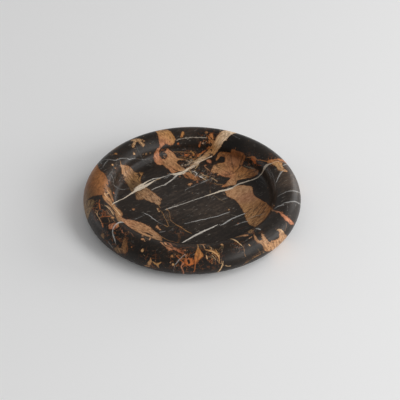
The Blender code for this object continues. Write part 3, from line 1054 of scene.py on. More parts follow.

# Lighter and darker areas of the black stone: x, y, reach, brightness and warmth. Some are the stone's
# own tone; others are painted light: a painted highlight along the top of the right rim, and painted
# shade on the right inner wall and on the lower outer side of the front rim.
TONE_AND_PAINTED_LIGHT = tuple(
    ToneAndLightArea(*row)
    for row in read_path(
        """
0,-14,34,1.36,0 36,-14,24,1.6,0 36,-74,20,1.15,0 -34,8,22,1.55,-0.04 -50,64,16,1.15,0 108,24,20,0.92,0
  92,54,18,0.6,0 100,-26,14,0.72,0 60,118,20,0.6,0 28,122,14,0.7,0 66,98,14,0.65,0 44,150,18,0.65,0
  -44,152,22,0.75,0 146,8,18,2.9,0.06 152,48,16,1.7,0.1 -96,96,20,0.84,0 128,-70,16,0.85,0
  0,-130,20,1.4,0.05 60,-144,16,0.88,0.1 4,146,26,1.3,0.04 -114,34,18,1.15,0.05 -30,-132,16,1.3,0
  -62,-166,20,0.66,0 -16,-172,20,0.62,0 30,-170,20,0.66,0 62,-152,20,0.8,0 -84,-138,20,0.76,0
  -120,-114,18,0.7,0 -112,-96,10,0.7,0 80,-112,16,0.8,0
"""
    )
)

# The groups of lines, by the names of their attributes.
GROUPS = {
    "cut": CUTS,
    "thread": THREADS,
    "crossing": CROSSING_VEINS,
    "strand": STRANDS,
    "vein": VEINS,
}


@dataclass(frozen=True)
class StonePattern:
    """The minerals of the stone, measured at points of the unrolled surface.

    Attributes:
        reach: Distance from a patch at which its measure stops, in millimetres.
        line_core: Distance from a line up to which it counts in full.
        line_reach: Distance from a line at which it stops counting.
        blend: Distance over which the tints of neighbours mix.
        own_share: Weight of a patch's main tint beside one of its accents.
        plain_weave: Weave of the stone outside the patches.
        spot_weave: Weave of the spots.
        spot_reach: Distance from a spot at which its tint stops fading.
        zone_core: Share of a zone's reach over which it fades.
    """

    reach: float = 14.0
    line_core: float = 0.8
    line_reach: float = 3.0
    blend: float = 1.6
    own_share: float = 0.15
    plain_weave: float = 0.4
    spot_weave: float = 0.3
    spot_reach: float = 40.0
    zone_core: float = 0.55

    @staticmethod
    def _near_box(plan: Array, points: Array, margin: float) -> Array:
        """Find what lies near the box round some points.

        Args:
            plan: Points to choose from.
            points: Points that the box goes round.
            margin: How far outside the box still counts.

        Returns:
            Numbers of the rows of plan that lie near it.
        """
        low = points[:, :2].min(0) - margin
        high = points[:, :2].max(0) + margin
        return np.flatnonzero(((plan >= low) & (plan <= high)).all(1))

    @staticmethod
    def _rounded(outline: Array) -> Array:
        """Cut the corners of a closed outline twice.

        Args:
            outline: Its corners.

        Returns:
            Four corners for each one.
        """
        for _ in range(2):
            after = np.roll(outline, -1, 0)
            pairs = (0.75 * outline + 0.25 * after, 0.25 * outline + 0.75 * after)
            outline = np.stack(pairs, 1).reshape(-1, 2)
        return outline

    @staticmethod
    def _nearest(plan: Array, start: Array, end: Array) -> tuple[Array, Array]:
        """Find the nearest points of one straight run.

        Args:
            plan: Points to measure from.
            start: First end of the run.
            end: Its other end.

        Returns:
            The offsets from the points to the run, and the share along it.
        """
        run = end[:2] - start[:2]
        share = np.clip(((plan - start[:2]) @ run) / max(run @ run, TINY), 0.0, 1.0)
        return start[:2] + share[:, None] * run - plan, share

    def lines(self, plan: Array, lines: Sequence[Line]) -> tuple[Array, Array, Array]:
        """Measure the way to the nearest of several lines.

        Args:
            plan: Points to measure from.
            lines: The lines.

        Returns:
            Rows of offset x, offset y and 0; rows of half width, strength and nearness;
            and rows of the line's tint.
        """
        best = np.full(len(plan), FAR)
        offset = np.zeros((len(plan), 3))
        style = np.zeros((len(plan), 3))
        tint = np.tile(Tint.TAN.linear(), (len(plan), 1))
        for line in lines:
            points = line.points
            rows = self._near_box(plan, points, self.line_reach + points[:, 2].max())
            for start, end in zip(points[:-1], points[1:]):
                way, share = self._nearest(plan[rows], start, end)
                half = (start[2] + share * (end[2] - start[2])) / 2
                gap = np.hypot(way[:, 0], way[:, 1]) - half
                closer = gap < best[rows]
                which = rows[closer]
                best[which] = gap[closer]
                offset[which, :2] = way[closer]
                style[which, 0] = half[closer]
                style[which, 1] = line.strength
                tint[which] = line.tint.linear()
        fade = (best - self.line_core) / (self.line_reach - self.line_core)
        style[:, 2] = np.clip(1.0 - fade, 0.0, 1.0)
        return offset, style, tint

    def patches(self, plan: Array) -> tuple[Array, Array, Array, Array]:
        """Measure how deep each point lies in the patches.

        Args:
            plan: Points to measure at.

        Returns:
            The depth in millimetres, negative outside; rows of tint; the weave; and
            rows of the place along and across the fibres of the nearest patch.
        """
        depth = np.full(len(plan), -self.reach)
        weight = np.full(len(plan), TRACE)
        tint = np.tile(Tint.TAN.linear(), (len(plan), 1)) * TRACE
        weave = np.full(len(plan), self.plain_weave * TRACE)
        grain = np.zeros((len(plan), 3))
        for patch in PATCHES:
            outline = self._rounded(patch.outline)
            rows = self._near_box(plan, outline, self.reach)
            here = plan[rows]
            inside = np.zeros(len(rows), bool)
            gap = np.full(len(rows), FAR)
            for start, end in zip(outline, np.roll(outline, -1, 0)):
                way, _ = self._nearest(here, start, end)
                gap = np.minimum(gap, np.hypot(way[:, 0], way[:, 1]))
                spans = (start[1] > here[:, 1]) != (end[1] > here[:, 1])
                rise = end[1] - start[1] or TINY
                cross = start[0] + (here[:, 1] - start[1]) * (end[0] - start[0]) / rise
                inside ^= spans & (here[:, 0] < cross)
            own = np.where(inside, gap, -gap)
            deepest = own > depth[rows]
            grain[rows[deepest], :2] = patch.grain(here[deepest])
            depth[rows] = np.maximum(depth[rows], own)
            share = np.exp(np.minimum(own, 0.0) / self.blend)
            weight[rows] += share
            weave[rows] += share * patch.weave
            tint[rows] += share[:, None] * self._patch_tint(patch, here)
        for spot in SPOTS:
            away = np.hypot(plan[:, 0] - spot.x, plan[:, 1] - spot.y)
            own = spot.radius - away
            depth = np.maximum(depth, own)
            share = np.exp(np.clip(own, -self.spot_reach, 0.0) / self.blend)
            weight += share
            weave += share * self.spot_weave
            tint += share[:, None] * np.array(spot.tint.linear())
        return depth, tint / weight[:, None], weave / weight, grain

    def _patch_tint(self, patch: Patch, here: Array) -> Array:
        """Mix a patch's tint with its accents.

        Args:
            patch: The patch.
            here: Points to measure at.

        Returns:
            Rows of tint.
        """
        total = np.full(len(here), self.own_share)
        mixed = np.tile(patch.tint.linear(), (len(here), 1)) * self.own_share
        for place, accent in patch.accents:
            share = np.exp(-((here - place) ** 2).sum(1) / (2 * ACCENT_REACH**2))
            total += share
            mixed += share[:, None] * np.array(accent.linear())
        return mixed / total[:, None]

    def zones(self, plan: Array) -> tuple[Array, Array]:
        """Measure the crushed areas.

        Args:
            plan: Points to measure at.

        Returns:
            The amounts of gold and of pale flecks.
        """
        gold = np.zeros(len(plan))
        pale = np.zeros(len(plan))
        for zone in ZONES:
            away = ((plan - (zone.x, zone.y)) ** 2).sum(1)
            share = np.exp(-away / (2 * (zone.radius * self.zone_core) ** 2))
            gold = np.maximum(gold, share * zone.gold)
            pale = np.maximum(pale, share * zone.pale)
        return gold, pale

    @staticmethod
    def tone_and_painted_light(plan: Array) -> Array:
        """Measure the lighter and darker areas of the black stone, with its own tone and its painted
        highlights and painted shade.

        Args:
            plan: Points to measure at.

        Returns:
            Rows of the shares of red, green and blue.
        """
        total = np.zeros((len(plan), 3))
        for tone_and_light in TONE_AND_PAINTED_LIGHT:
            away = ((plan - (tone_and_light.x, tone_and_light.y)) ** 2).sum(1)
            change = math.log(tone_and_light.share) + tone_and_light.warmth * np.array([1.0, 0.0, -1.0])
            total += np.exp(-away / (2 * tone_and_light.radius**2))[:, None] * change
        return np.exp(total)

    def measure(self, plan: Array) -> dict[str, Array]:
        """Measure the whole pattern.

        Args:
            plan: Points of the unrolled surface.

        Returns:
            Rows for each attribute of the mesh, by name.
        """
        depth, tint, weave, grain = self.patches(plan)
        gold, pale = self.zones(plan)
        measured = {
            "patch_depth": depth[:, None],
            "ground_tone_and_light": self.tone_and_painted_light(plan),
            "patch_tint": tint,
            "patch_grain": grain,
            "zone": np.column_stack([gold, pale, weave]),
        }
        for name, lines in GROUPS.items():
            offset, style, line_tint = self.lines(plan, lines)
            measured[f"{name}_offset"] = offset
            measured[f"{name}_style"] = style
            measured[f"{name}_tint"] = line_tint
        return measured


@dataclass(frozen=True)
class BlackStone:
    """The black ground of the stone, with clouds, mottling, streaks and hairlines, and with painted
    highlights and painted shade in places.

    Attributes:
        colour: Its colour.
        cloud: Colour of its paler clouds.
        haze: Colour of its streaks and its mottling.
        scratch: Colour of its hairlines.
        run: Direction of its streaks and hairlines, in degrees from +X.
        steep_run: Direction of the hairlines in crushed stone.
        clouds: Its broad clouds.
        salt: Its fine clouds.
        streaks: Its long streaks.
        mottling: Its short streaks.
        hairlines: Its hairlines.
        crushed: The hairlines in crushed stone.
        gaps: Where the hairlines show.
    """

    colour: Colour = display_colour(25, 21, 18)
    cloud: Colour = display_colour(46, 38, 32)
    haze: Colour = display_colour(78, 66, 56)
    scratch: Colour = display_colour(200, 192, 180)
    run: float = 34.0
    steep_run: float = 72.0
    clouds: Grain = Grain(34.0, detail=4.0, roughness=0.62, low=0.36, high=0.72, share=0.4)
    salt: Grain = Grain(3.0, detail=4.0, roughness=0.7, low=0.34, high=0.7, share=0.35)
    streaks: Grain = Grain(4.4, detail=4.0, roughness=0.65, low=0.46, high=0.7, share=0.28)
    mottling: Grain = Grain(4.2, detail=4.0, roughness=0.72, low=0.52, high=0.72, share=0.42)
    hairlines: Grain = Grain(2.0, low=0.62, high=0.7)
    crushed: Grain = Grain(1.7, low=0.58, high=0.67, share=0.42)
    gaps: Grain = Grain(13.0, low=0.42, high=0.6)

    def lay(self, nodes: Nodes, place: Value, pale: Value) -> Value:
        """Colour the black stone.

        Args:
            nodes: The node tree.
            place: Place in millimetres.
            pale: Amount of pale hairlines.

        Returns:
            The colour.
        """
        # The stone's own lighter and darker areas, together with painted highlights and painted shade;
        # where it is lighter, the streaks and mottling are stronger.
        tone_and_light = nodes.attribute("ground_tone_and_light", "Fac")
        light = (tone_and_light - 0.45).at_least(0.1).at_most(1.0)
        cloud = 0.1 + nodes.mask(place, self.clouds) + nodes.mask(place, self.salt)
        colour = nodes.mix(cloud, self.colour, self.cloud)
        swayed = nodes.warped(place, size=16.0, reach=7.0)
        along = nodes.stretched(swayed, self.run, along=6.0)
        colour = nodes.mix(nodes.mask(along, self.streaks) * light, colour, self.haze)
        short = nodes.stretched(place, self.run, along=1.6)
        colour = nodes.mix(nodes.mask(short, self.mottling) * light, colour, self.haze)
        # Multiply in the stone's tone together with its painted highlights and painted shade.
        colour = nodes.mix(1.0, colour, nodes.attribute("ground_tone_and_light", "Color"), "MULTIPLY")
        thin = self.hairlines
        scratch = nodes.noise(along, thin).rise(thin.low - 0.05 * pale, thin.high)
        steep = nodes.mask(nodes.stretched(swayed, self.steep_run, along=7.0), self.crushed) * pale
        amount = scratch * nodes.mask(place, self.gaps) * (0.26 * light + 0.5 * pale)
        return nodes.mix(amount.at_least(steep), colour, self.scratch)


@dataclass(frozen=True)
class CrushedStone:
    """Flecks, crackle and chips, in the crushed areas and round the patches.

    Attributes:
        run: Direction of the flecks and chips, in degrees from +X.
        fringe: Distance from a patch at which its flecks end, in millimetres.
        flecks: The gold flecks.
        torn: Where the crackle shows.
        chips: The white chips.
    """

    run: float = 31.0
    fringe: float = 7.0
    flecks: Grain = Grain(2.8, detail=3.0, roughness=0.62, warp=0.5, low=0.71, high=0.74, share=0.8)
    torn: Grain = Grain(5.0, detail=3.0, roughness=0.6, low=0.42, high=0.56)
    chips: Grain = Grain(1.9, detail=3.0, roughness=0.6, warp=0.3, low=0.74, high=0.79, share=0.85)

    def lay(self, nodes: Nodes, place: Value, under: Value, gold: Value, pale: Value) -> Value:
        """Scatter them over the stone.

        Args:
            nodes: The node tree.
            place: Place in millimetres.
            under: Colour to scatter them on.
            gold: Amount of gold flecks.
            pale: Amount of white chips.

        Returns:
            The colour.
        """
        fringe = nodes.attribute("patch_depth", "Fac").rise(-self.fringe, 0.0)
        brown = Tint.BROWN.linear()
        tint = nodes.mix(0.35, nodes.attribute("patch_tint", "Color"), brown)
        fleck = nodes.stretched(place, self.run, along=1.7)
        fleck = nodes.mask(fleck, self.flecks, 0.06 * fringe + 0.1 * gold)
        colour = nodes.mix(fleck, under, tint)
        net = nodes.cracks(nodes.warped(place, size=4.0, reach=5.0), size=6.5, width=1.4)
        torn = nodes.mask(place, self.torn)
        crackle = net * torn * (0.6 * gold + 0.06 * fringe)
        colour = nodes.mix(crackle, colour, nodes.mix(torn, brown, Tint.ORANGE.linear()))
        chip = nodes.stretched(place, self.run, along=3.2)
        chip = nodes.mask(chip, self.chips, 0.17 * pale) * pale.rise(0.1, 0.5)
        return nodes.mix(chip, colour, Tint.CREAM.linear())


@dataclass(frozen=True)
class GoldStone:
    """The gold and tan patches.

    Attributes:
        edge_shade: How their colour darkens towards the edge.
        dark_share: How their darker mottling differs from the tint.
        light_share: How their lighter mottling differs.
        fibre: Colour of their fibres.
        bays: Broad bends of their edge.
        teeth: Small jags of their edge.
        mottling: Their darker mottling.
        fibres: Their fibres.
        grit: Their grit.
        torn: Where their cracks show.
        holes: Small holes in them.
    """

    edge_shade: Colour = (0.66, 0.5, 0.36)
    dark_share: Colour = (0.8, 0.72, 0.64)
    light_share: Colour = (1.24, 1.24, 1.22)
    fibre: Colour = display_colour(70, 46, 30)
    bays: Grain = Grain(6.5, detail=3.0, roughness=0.6)
    teeth: Grain = Grain(2.3, detail=4.0, roughness=0.7)
    mottling: Grain = Grain(4.4, detail=5.0, roughness=0.7, warp=0.5, low=0.38, high=0.62)
    fibres: Grain = Grain(2.1, detail=3.0, roughness=0.65, warp=0.3)
    grit: Grain = Grain(2.5, detail=3.0, roughness=0.65)
    torn: Grain = Grain(6.0, detail=3.0, roughness=0.6, low=0.46, high=0.6)
    holes: Grain = Grain(3.4, detail=4.0, roughness=0.65, warp=0.3, low=0.68, high=0.71, share=0.9)

    def lay(self, nodes: Nodes, place: Value, under: Value, weave: Value) -> tuple[Value, Value]:
        """Lay the patches on the stone.

        Args:
            nodes: The node tree.
            place: Place in millimetres.
            under: Colour of the stone around them.
            weave: Amount of fine brown fibres.

        Returns:
            The colour, and the patches' cover from 0 to 1.
        """
        tint = nodes.attribute("patch_tint", "Color")
        bays = nodes.noise(place, self.bays) - 0.5
        teeth = nodes.noise(place, self.teeth) - 0.5
        edge = nodes.attribute("patch_depth", "Fac") + 3.0 * bays + (2.4 + 3.0 * weave) * teeth
        run = nodes.warped(nodes.attribute("patch_grain"), size=12.0, reach=6.0)
        broad = nodes.vector_maths("MULTIPLY", run, (0.55, 1.0, 1.0))
        narrow = nodes.vector_maths("MULTIPLY", run, (0.2, 1.0, 1.0))
        dark = nodes.mix(1.0, tint, self.dark_share, "MULTIPLY")
        light = nodes.mix(1.0, tint, self.light_share, "MULTIPLY")
        colour = nodes.mix(nodes.mask(broad, self.mottling), light, dark)
        fibre = nodes.noise(narrow, self.fibres)
        colour = nodes.mix(0.5 * fibre.rise(0.46, 0.36), colour, light)
        colour = nodes.mix(fibre.rise(0.51, 0.6) * (0.04 + 1.1 * weave), colour, self.fibre)
        grit = nodes.noise(place, self.grit)
        colour = nodes.mix(0.4 * grit.rise(0.43, 0.33), colour, light)
        colour = nodes.mix(grit.rise(0.54, 0.64) * (0.12 + 0.5 * weave), colour, self.fibre)
        net = nodes.cracks(nodes.warped(broad, size=5.0, reach=6.0), size=8.0, width=1.3)
        net = net * nodes.mask(place, self.torn)
        colour = nodes.mix(net * (0.15 + 0.5 * weave), colour, self.fibre)
        shaded = nodes.mix(1.0, colour, self.edge_shade, "MULTIPLY")
        colour = nodes.mix(0.55 * edge.rise(2.0, 0.2), colour, shaded)
        hole = nodes.noise(broad, self.holes).rise(self.holes.low - 0.08 * weave, self.holes.high)
        cover = edge.rise(-0.3, 0.35) * (1.0 - self.holes.share * hole)
        return nodes.mix(cover, under, colour), cover


@dataclass(frozen=True)
class Unevenness:
    """The noises that make the drawn lines irregular.

    Attributes:
        bend: Small shift of every line.
        swell: Change of width, about 0.5.
        whole: 0 where a weak line breaks and 1 where it is whole.
        tone: Change of colour, about 0.5.
    """

    bend: Value
    swell: Value
    whole: Value
    tone: Value


@dataclass(frozen=True)
class Veining:
    """The drawn veins, threads and cracks.

    Attributes:
        soot: Colour of the cracks.
        run: Direction of the veins' frayed fibres, in degrees from +X.
        soft_edge: Part of half a line's width that fades out, in millimetres.
        drift: Broad bends of a line.
        jag: Small bends of it.
        swell: Change of its width.
        whole: Where a weak line is whole.
        tone: Change of its colour.
        fray: Fibres of the veins.
    """

    soot: Colour = display_colour(34, 27, 22)
    run: float = 38.0
    soft_edge: float = 0.25
    drift: Grain = Grain(9.0)
    jag: Grain = Grain(2.4, detail=3.0, roughness=0.6)
    swell: Grain = Grain(3.6, detail=4.0, roughness=0.7)
    whole: Grain = Grain(7.0, detail=3.0, roughness=0.65, low=0.36, high=0.52)
    tone: Grain = Grain(4.0, detail=3.0, roughness=0.6)
    fray: Grain = Grain(1.6, detail=3.0, roughness=0.6)

    def uneven(self, nodes: Nodes, place: Value) -> Unevenness:
        """Make the noises that the lines share.

        Args:
            nodes: The node tree.
            place: Place in millimetres.

        Returns:
            The noises.
        """
        drift = nodes.noise(place, self.drift, "Color")
        jag = nodes.noise(place, self.jag, "Color")
        bend = nodes.vector_maths("MULTIPLY_ADD", drift, (1.3, 1.3, 0.0), (-1.35, -1.35, 0.0))
        return Unevenness(
            bend=nodes.vector_maths("MULTIPLY_ADD", jag, (1.4, 1.4, 0.0), bend),
            swell=nodes.noise(place, self.swell),
            whole=nodes.mask(place, self.whole),
            tone=nodes.noise(place, self.tone),
        )

    def _cover(self, nodes: Nodes, uneven: Unevenness, name: str) -> tuple[Value, Value, Value]:
        """Find where a group of lines covers the stone.

        Args:
            nodes: The node tree.
            uneven: The noises that make the lines irregular.
            name: Name of the group.

        Returns:
            The cover from 0 to 1, the distance from the edge in millimetres, and the
            strength of the line.
        """
        half, strength, near = nodes.parts(nodes.attribute(f"{name}_style"))
        bent = nodes.vector_maths("ADD", nodes.attribute(f"{name}_offset"), uneven.bend)
        width = (half - self.soft_edge) * (0.4 + 1.2 * uneven.swell) + self.soft_edge * 0.35
        away = nodes.vector_maths("LENGTH", bent) - width
        kept = 1.0 - (1.0 - uneven.whole) * (1.15 - strength).at_most(1.0)
        cover = away.rise(0.3, -0.25) * near.rise(0.0, 0.35) * kept
        return cover, away, strength

    def cracks(self, nodes: Nodes, under: Value, uneven: Unevenness, patch: Value) -> Value:
        """Draw the dark cracks of the patches.

        Args:
            nodes: The node tree.
            under: Colour of the stone.
            uneven: The noises that make them irregular.
            patch: Cover of the patches.

        Returns:
            The colour.
        """
        cover, _, strength = self._cover(nodes, uneven, "cut")
        return nodes.mix(cover * strength * patch, under, self.soot)

    def threads(self, nodes: Nodes, under: Value, uneven: Unevenness) -> tuple[Value, Value]:
        """Lay the thin gold and orange threads.

        Args:
            nodes: The node tree.
            under: Colour of the stone around them.
            uneven: The noises that make them irregular.

        Returns:
            The colour, and the threads' cover from 0 to 1.
        """
        cover, _, strength = self._cover(nodes, uneven, "thread")
        tint = nodes.attribute("thread_tint", "Color")
        cover = cover * strength * (0.6 + 0.8 * uneven.tone).at_most(1.0)
        colour = nodes.mix(0.45 * uneven.tone.rise(0.5, 0.66), tint, Tint.RUST.linear())
        return nodes.mix(cover, under, colour), cover

    def veins(
        self, nodes: Nodes, place: Value, under: Value, uneven: Unevenness, name: str
    ) -> tuple[Value, Value]:
        """Lay a group of white and grey veins.

        Args:
            nodes: The node tree.
            place: Place in millimetres.
            under: Colour of the stone around them.
            uneven: The noises that make them irregular.
            name: Name of the group.

        Returns:
            The colour, and the veins' cover from 0 to 1.
        """
        cover, away, strength = self._cover(nodes, uneven, name)
        tint = nodes.attribute(f"{name}_tint", "Color")
        patchy = (0.2 + strength * 0.5 + 0.8 * uneven.tone).at_most(1.0)
        along = nodes.stretched(nodes.warped(place, size=8.0, reach=4.0), self.run, along=6.0)
        fray = nodes.noise(along, self.fray)
        dark = fray.rise(0.5, 0.6) * away.rise(-0.5, -1.6)
        colour = nodes.mix(0.55 * dark, tint, Tint.MUD.linear())
        frayed = fray.rise(0.56, 0.66) * away.rise(2.2, 0.2) * strength
        cover = (cover * strength * patchy).at_least(0.4 * frayed)
        return nodes.mix(cover, under, colour), cover


@dataclass(frozen=True)
class Marble:
    """The honed finish of the stone.

    Attributes:
        black: Its black ground.
        crushed: Its crushed areas.
        gold: Its gold and tan patches.
        veining: Its veins, threads and cracks.
        tone: Fine change of brightness all over.
        scuffs: Change of roughness.
        waves: Low waves of the surface.
        roughness: Roughness of the honed face.
        gloss: Specular level.
    """

    black: BlackStone = BlackStone()
    crushed: CrushedStone = CrushedStone()
    gold: GoldStone = GoldStone()
    veining: Veining = Veining()
    tone: Grain = Grain(1.1, detail=3.0, roughness=0.7)
    scuffs: Grain = Grain(16.0, detail=4.0, roughness=0.6)
    waves: Grain = Grain(5.0, detail=3.0)
    roughness: float = 0.37
    gloss: float = 0.2

    def material(self) -> bpy.types.Material:
        """Build the material.

        Returns:
            The material, which reads the attributes of the stone's mesh.
        """
        nodes = Nodes("honed_black_gold_marble")
        place = nodes.place()
        gold, pale, weave = nodes.parts(nodes.attribute("zone"))
        colour = self.black.lay(nodes, place, pale)
        colour = self.crushed.lay(nodes, place, colour, gold, pale)
        colour, cover = self.gold.lay(nodes, place, colour, weave)
        uneven = self.veining.uneven(nodes, place)
        colour = self.veining.cracks(nodes, colour, uneven, cover)
        colour, thread = self.veining.threads(nodes, colour, uneven)
        cover = cover.at_least(thread)
        for name in ("crossing", "strand", "vein"):
            colour, vein = self.veining.veins(nodes, place, colour, uneven, name)
            cover = cover.at_least(vein)
        tone = nodes.noise(place, self.tone)
        level = 0.82 + 0.36 * tone
        grey = nodes.add("ShaderNodeCombineColor", None, {0: level, 1: level, 2: level})
        scuff = nodes.noise(place, self.scuffs) - 0.5
        height = 0.012 * tone - 0.02 * cover + 0.02 * nodes.noise(place, self.waves)
        return nodes.finish(
            Base_Color=nodes.mix(1.0, colour, grey, "MULTIPLY"),
            Roughness=self.roughness + 0.14 * scuff + 0.05 * cover,
            Specular_IOR_Level=self.gloss,
            Normal=nodes.bump(height, strength=0.6),
        )


@dataclass(frozen=True)
class Felt:
    """The pressed felt of the pads.

    Attributes:
        colour: Its colour.
        light: Colour of its loose fibres.
        runs: Directions of the loose fibres, in degrees from +X.
        mat: Its pressed fibres.
        loose: The loose fibres on it.
    """

    colour: Colour = (0.045, 0.044, 0.042)
    light: Colour = (0.13, 0.126, 0.12)
    runs: tuple[float, float] = (25.0, -50.0)
    mat: Grain = Grain(0.6, detail=4.0, roughness=0.7, warp=2.0)
    loose: Grain = Grain(0.35, detail=3.0, roughness=0.6, warp=1.5, low=0.58, high=0.7)

    def material(self) -> bpy.types.Material:
        """Build the material.

        Returns:
            The material, with a mat of fibres.
        """
        nodes = Nodes("charcoal_pressed_felt")
        place = nodes.place()
        mat = nodes.noise(place, self.mat)
        fibres = [nodes.mask(nodes.stretched(place, run, along=6.0), self.loose) for run in self.runs]
        loose = fibres[0].at_least(fibres[1])
        colour = nodes.mix(0.4 * mat.rise(0.3, 0.8), self.colour, self.light)
        return nodes.finish(
            Base_Color=nodes.mix(0.5 * loose, colour, self.light),
            Roughness=0.94 - 0.06 * mat,
            Specular_IOR_Level=0.2,
            Sheen_Weight=0.25,
            Sheen_Roughness=0.5,
            Normal=nodes.bump(0.12 * mat + 0.08 * loose, strength=0.8),
        )


@dataclass(frozen=True)
class Adhesive:
    """The film of clear glue between a pad and the stone.

    Attributes:
        colour: Its colour.
        pale: Colour of the small bubbles trapped in it.
        bubbles: The bubbles.
        waves: Low waves of the surface.
    """

    colour: Colour = (0.46, 0.44, 0.38)
    pale: Colour = (0.62, 0.6, 0.55)
    bubbles: Grain = Grain(1.4, detail=3.0, roughness=0.6, low=0.56, high=0.66)
    waves: Grain = Grain(2.0)

    def material(self) -> bpy.types.Material:
        """Build the material.

        Returns:
            The material, with its bubbles.
        """
        nodes = Nodes("adhesive_film")
        place = nodes.place()
        bubbles = nodes.mask(place, self.bubbles)
        return nodes.finish(
            Base_Color=nodes.mix(0.35 * bubbles, self.colour, self.pale),
            Roughness=0.3 + 0.2 * bubbles,
            Normal=nodes.bump(0.03 * nodes.noise(place, self.waves), strength=0.5),
        )


def new_piece(
    name: str, mesh_builder: bmesh.types.BMesh, material: bpy.types.Material
) -> bpy.types.Object:
    """Turn a bmesh into a smooth piece at the origin.

    Args:
        name: Name of the piece.
        mesh_builder: The finished bmesh, which is freed.
        material: Its material.

    Returns:
        The new object, in the scene.
    """
    mesh = bpy.data.meshes.new(name)
    mesh_builder.to_mesh(mesh)
    mesh_builder.free()
    mesh.shade_smooth()
    mesh.materials.append(material)
    piece = bpy.data.objects.new(name, mesh)
    bpy.context.scene.collection.objects.link(piece)
    return piece


@dataclass
class StoneTray:
    """The tray of stone, turned from one profile.

    Attributes:
        outer_radius: Radius of the tray.
        rim_radius: Radius of the rim's round section.
        base_height: Height of the base over the table.
        floor_thickness: Thickness of the floor.
        cove_radius: Radius of the hollow between the floor and the rim.
        floor_runs: Number of divisions of the floor.
        cove_runs: Number of divisions of the cove.
        inner_runs: Number of divisions of the rim's inner quarter.
        outer_runs: Number of divisions of the rim's outer half.
        base_runs: Number of divisions of the base.
        wedge_steps: Steps of the turned wedge.
        wedge_doublings: How often the wedge is doubled to a full turn.
        fold: Distance along the surface at which the pattern turns under the base.
        drawing_shift: Place on the drawn pattern that lies at the middle of the floor.
        base_shift: Further shift of the pattern at the middle of the base.
    """

    outer_radius: float
    rim_radius: float
    base_height: float
    floor_thickness: float = 11.2
    cove_radius: float = 13.5
    floor_runs: int = 64
    cove_runs: int = 16
    inner_runs: int = 22
    outer_runs: int = 38
    base_runs: int = 14
    wedge_steps: int = 75
    wedge_doublings: int = 3
    fold: float = 194.0
    drawing_shift: tuple[float, float] = (1.6, -1.3)
    base_shift: tuple[float, float] = (24.0, -16.0)

    def __post_init__(self) -> None:
        """Work out the places where the arcs of the profile meet."""
        self.floor_height = self.base_height + self.floor_thickness
        self.ring_radius = self.outer_radius - self.rim_radius
        self.ring_height = self.base_height + self.rim_radius
        cove_height = self.floor_height + self.cove_radius
        drop = self.ring_height - cove_height
        across = math.sqrt((self.rim_radius + self.cove_radius) ** 2 - drop**2)
        self.cove_middle = (self.ring_radius - across, cove_height)
        self.lean = math.atan2(drop, across)
        self.cove_start = self.cove_middle[0]
        self.rim_start = self.cove_start + self.cove_radius * (self.lean + math.pi / 2)
        self.rim_end = self.rim_start + self.rim_radius * (self.lean + 1.5 * math.pi)

    @classmethod
    def from_node(cls, node: str) -> "StoneTray":
        """Take the outer sizes from a CAD node's box."""
        low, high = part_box(node)
        return cls(high.x / MM, (high.z - low.z) / 2 / MM, low.z / MM)

    @staticmethod
    def _draw_on(
        turned: bmesh.types.BMesh,
        tip: bmesh.types.BMVert,
        runs: int,
        middle: tuple[float, float] = (0.0, 0.0),
        angle: float = 0.0,
        length: float = 0.0,
    ) -> bmesh.types.BMVert:
        """Draw the profile on, along an arc or straight along X.

        Args:
            turned: The bmesh.
            tip: Last point of the profile so far.
            runs: Number of divisions.
            middle: Centre of the arc: distance from the axis and height, in millimetres.
            angle: Angle of the arc, positive where it runs clockwise seen from the front.
            length: Length of a straight part in millimetres, negative towards the axis.

        Returns:
            The new last point.
        """
        spun = bmesh.ops.spin(
            turned,
            geom=[tip],
            cent=Vector((middle[0], 0.0, middle[1])) * MM,
            axis=(0.0, 1.0, 0.0),
            dvec=(length * MM / runs, 0.0, 0.0),
            angle=angle,
            space=Matrix(),
            steps=runs,
            use_merge=False,
            use_normal_flip=False,
            use_duplicate=False,
        )
        return spun["geom_last"][0]

    def _profile(self, turned: bmesh.types.BMesh) -> None:
        """Draw the profile, from the middle of the floor over the rim to the base's middle.

        Args:
            turned: The bmesh to draw it in.
        """
        rim = (self.ring_radius, self.ring_height)
        quarter = math.pi / 2 + self.lean
        tip = turned.verts.new(Vector((0.0, 0.0, self.floor_height)) * MM)
        tip = self._draw_on(turned, tip, self.floor_runs, length=self.cove_start)
        tip = self._draw_on(turned, tip, self.cove_runs, self.cove_middle, -quarter)
        tip = self._draw_on(turned, tip, self.inner_runs, rim, quarter)
        tip = self._draw_on(turned, tip, self.outer_runs, rim, math.pi)
        self._draw_on(turned, tip, self.base_runs, length=-self.ring_radius)

    def _turn(self, turned: bmesh.types.BMesh) -> None:
        """Turn the profile into a wedge, and double the wedge to a full turn.

        Args:
            turned: The bmesh that holds the profile.
        """
        angle = math.tau / 2**self.wedge_doublings
        bmesh.ops.spin(
            turned,
            geom=turned.verts[:] + turned.edges[:],
            cent=ORIGIN,
            axis=UP,
            dvec=ORIGIN,
            angle=angle,
            space=Matrix(),
            steps=self.wedge_steps,
            use_merge=False,
            use_normal_flip=False,
            use_duplicate=False,
        )
        for _ in range(self.wedge_doublings):
            geometry = turned.verts[:] + turned.edges[:] + turned.faces[:]
            copied = bmesh.ops.duplicate(turned, geom=geometry)["geom"]
            moved = [item for item in copied if isinstance(item, bmesh.types.BMVert)]
            turn = Matrix.Rotation(angle, 3, "Z")
            bmesh.ops.rotate(turned, verts=moved, cent=ORIGIN, matrix=turn)
            angle *= 2.0
        bmesh.ops.remove_doubles(turned, verts=turned.verts[:], dist=MERGE_DISTANCE)
        bmesh.ops.recalc_face_normals(turned, faces=turned.faces[:])

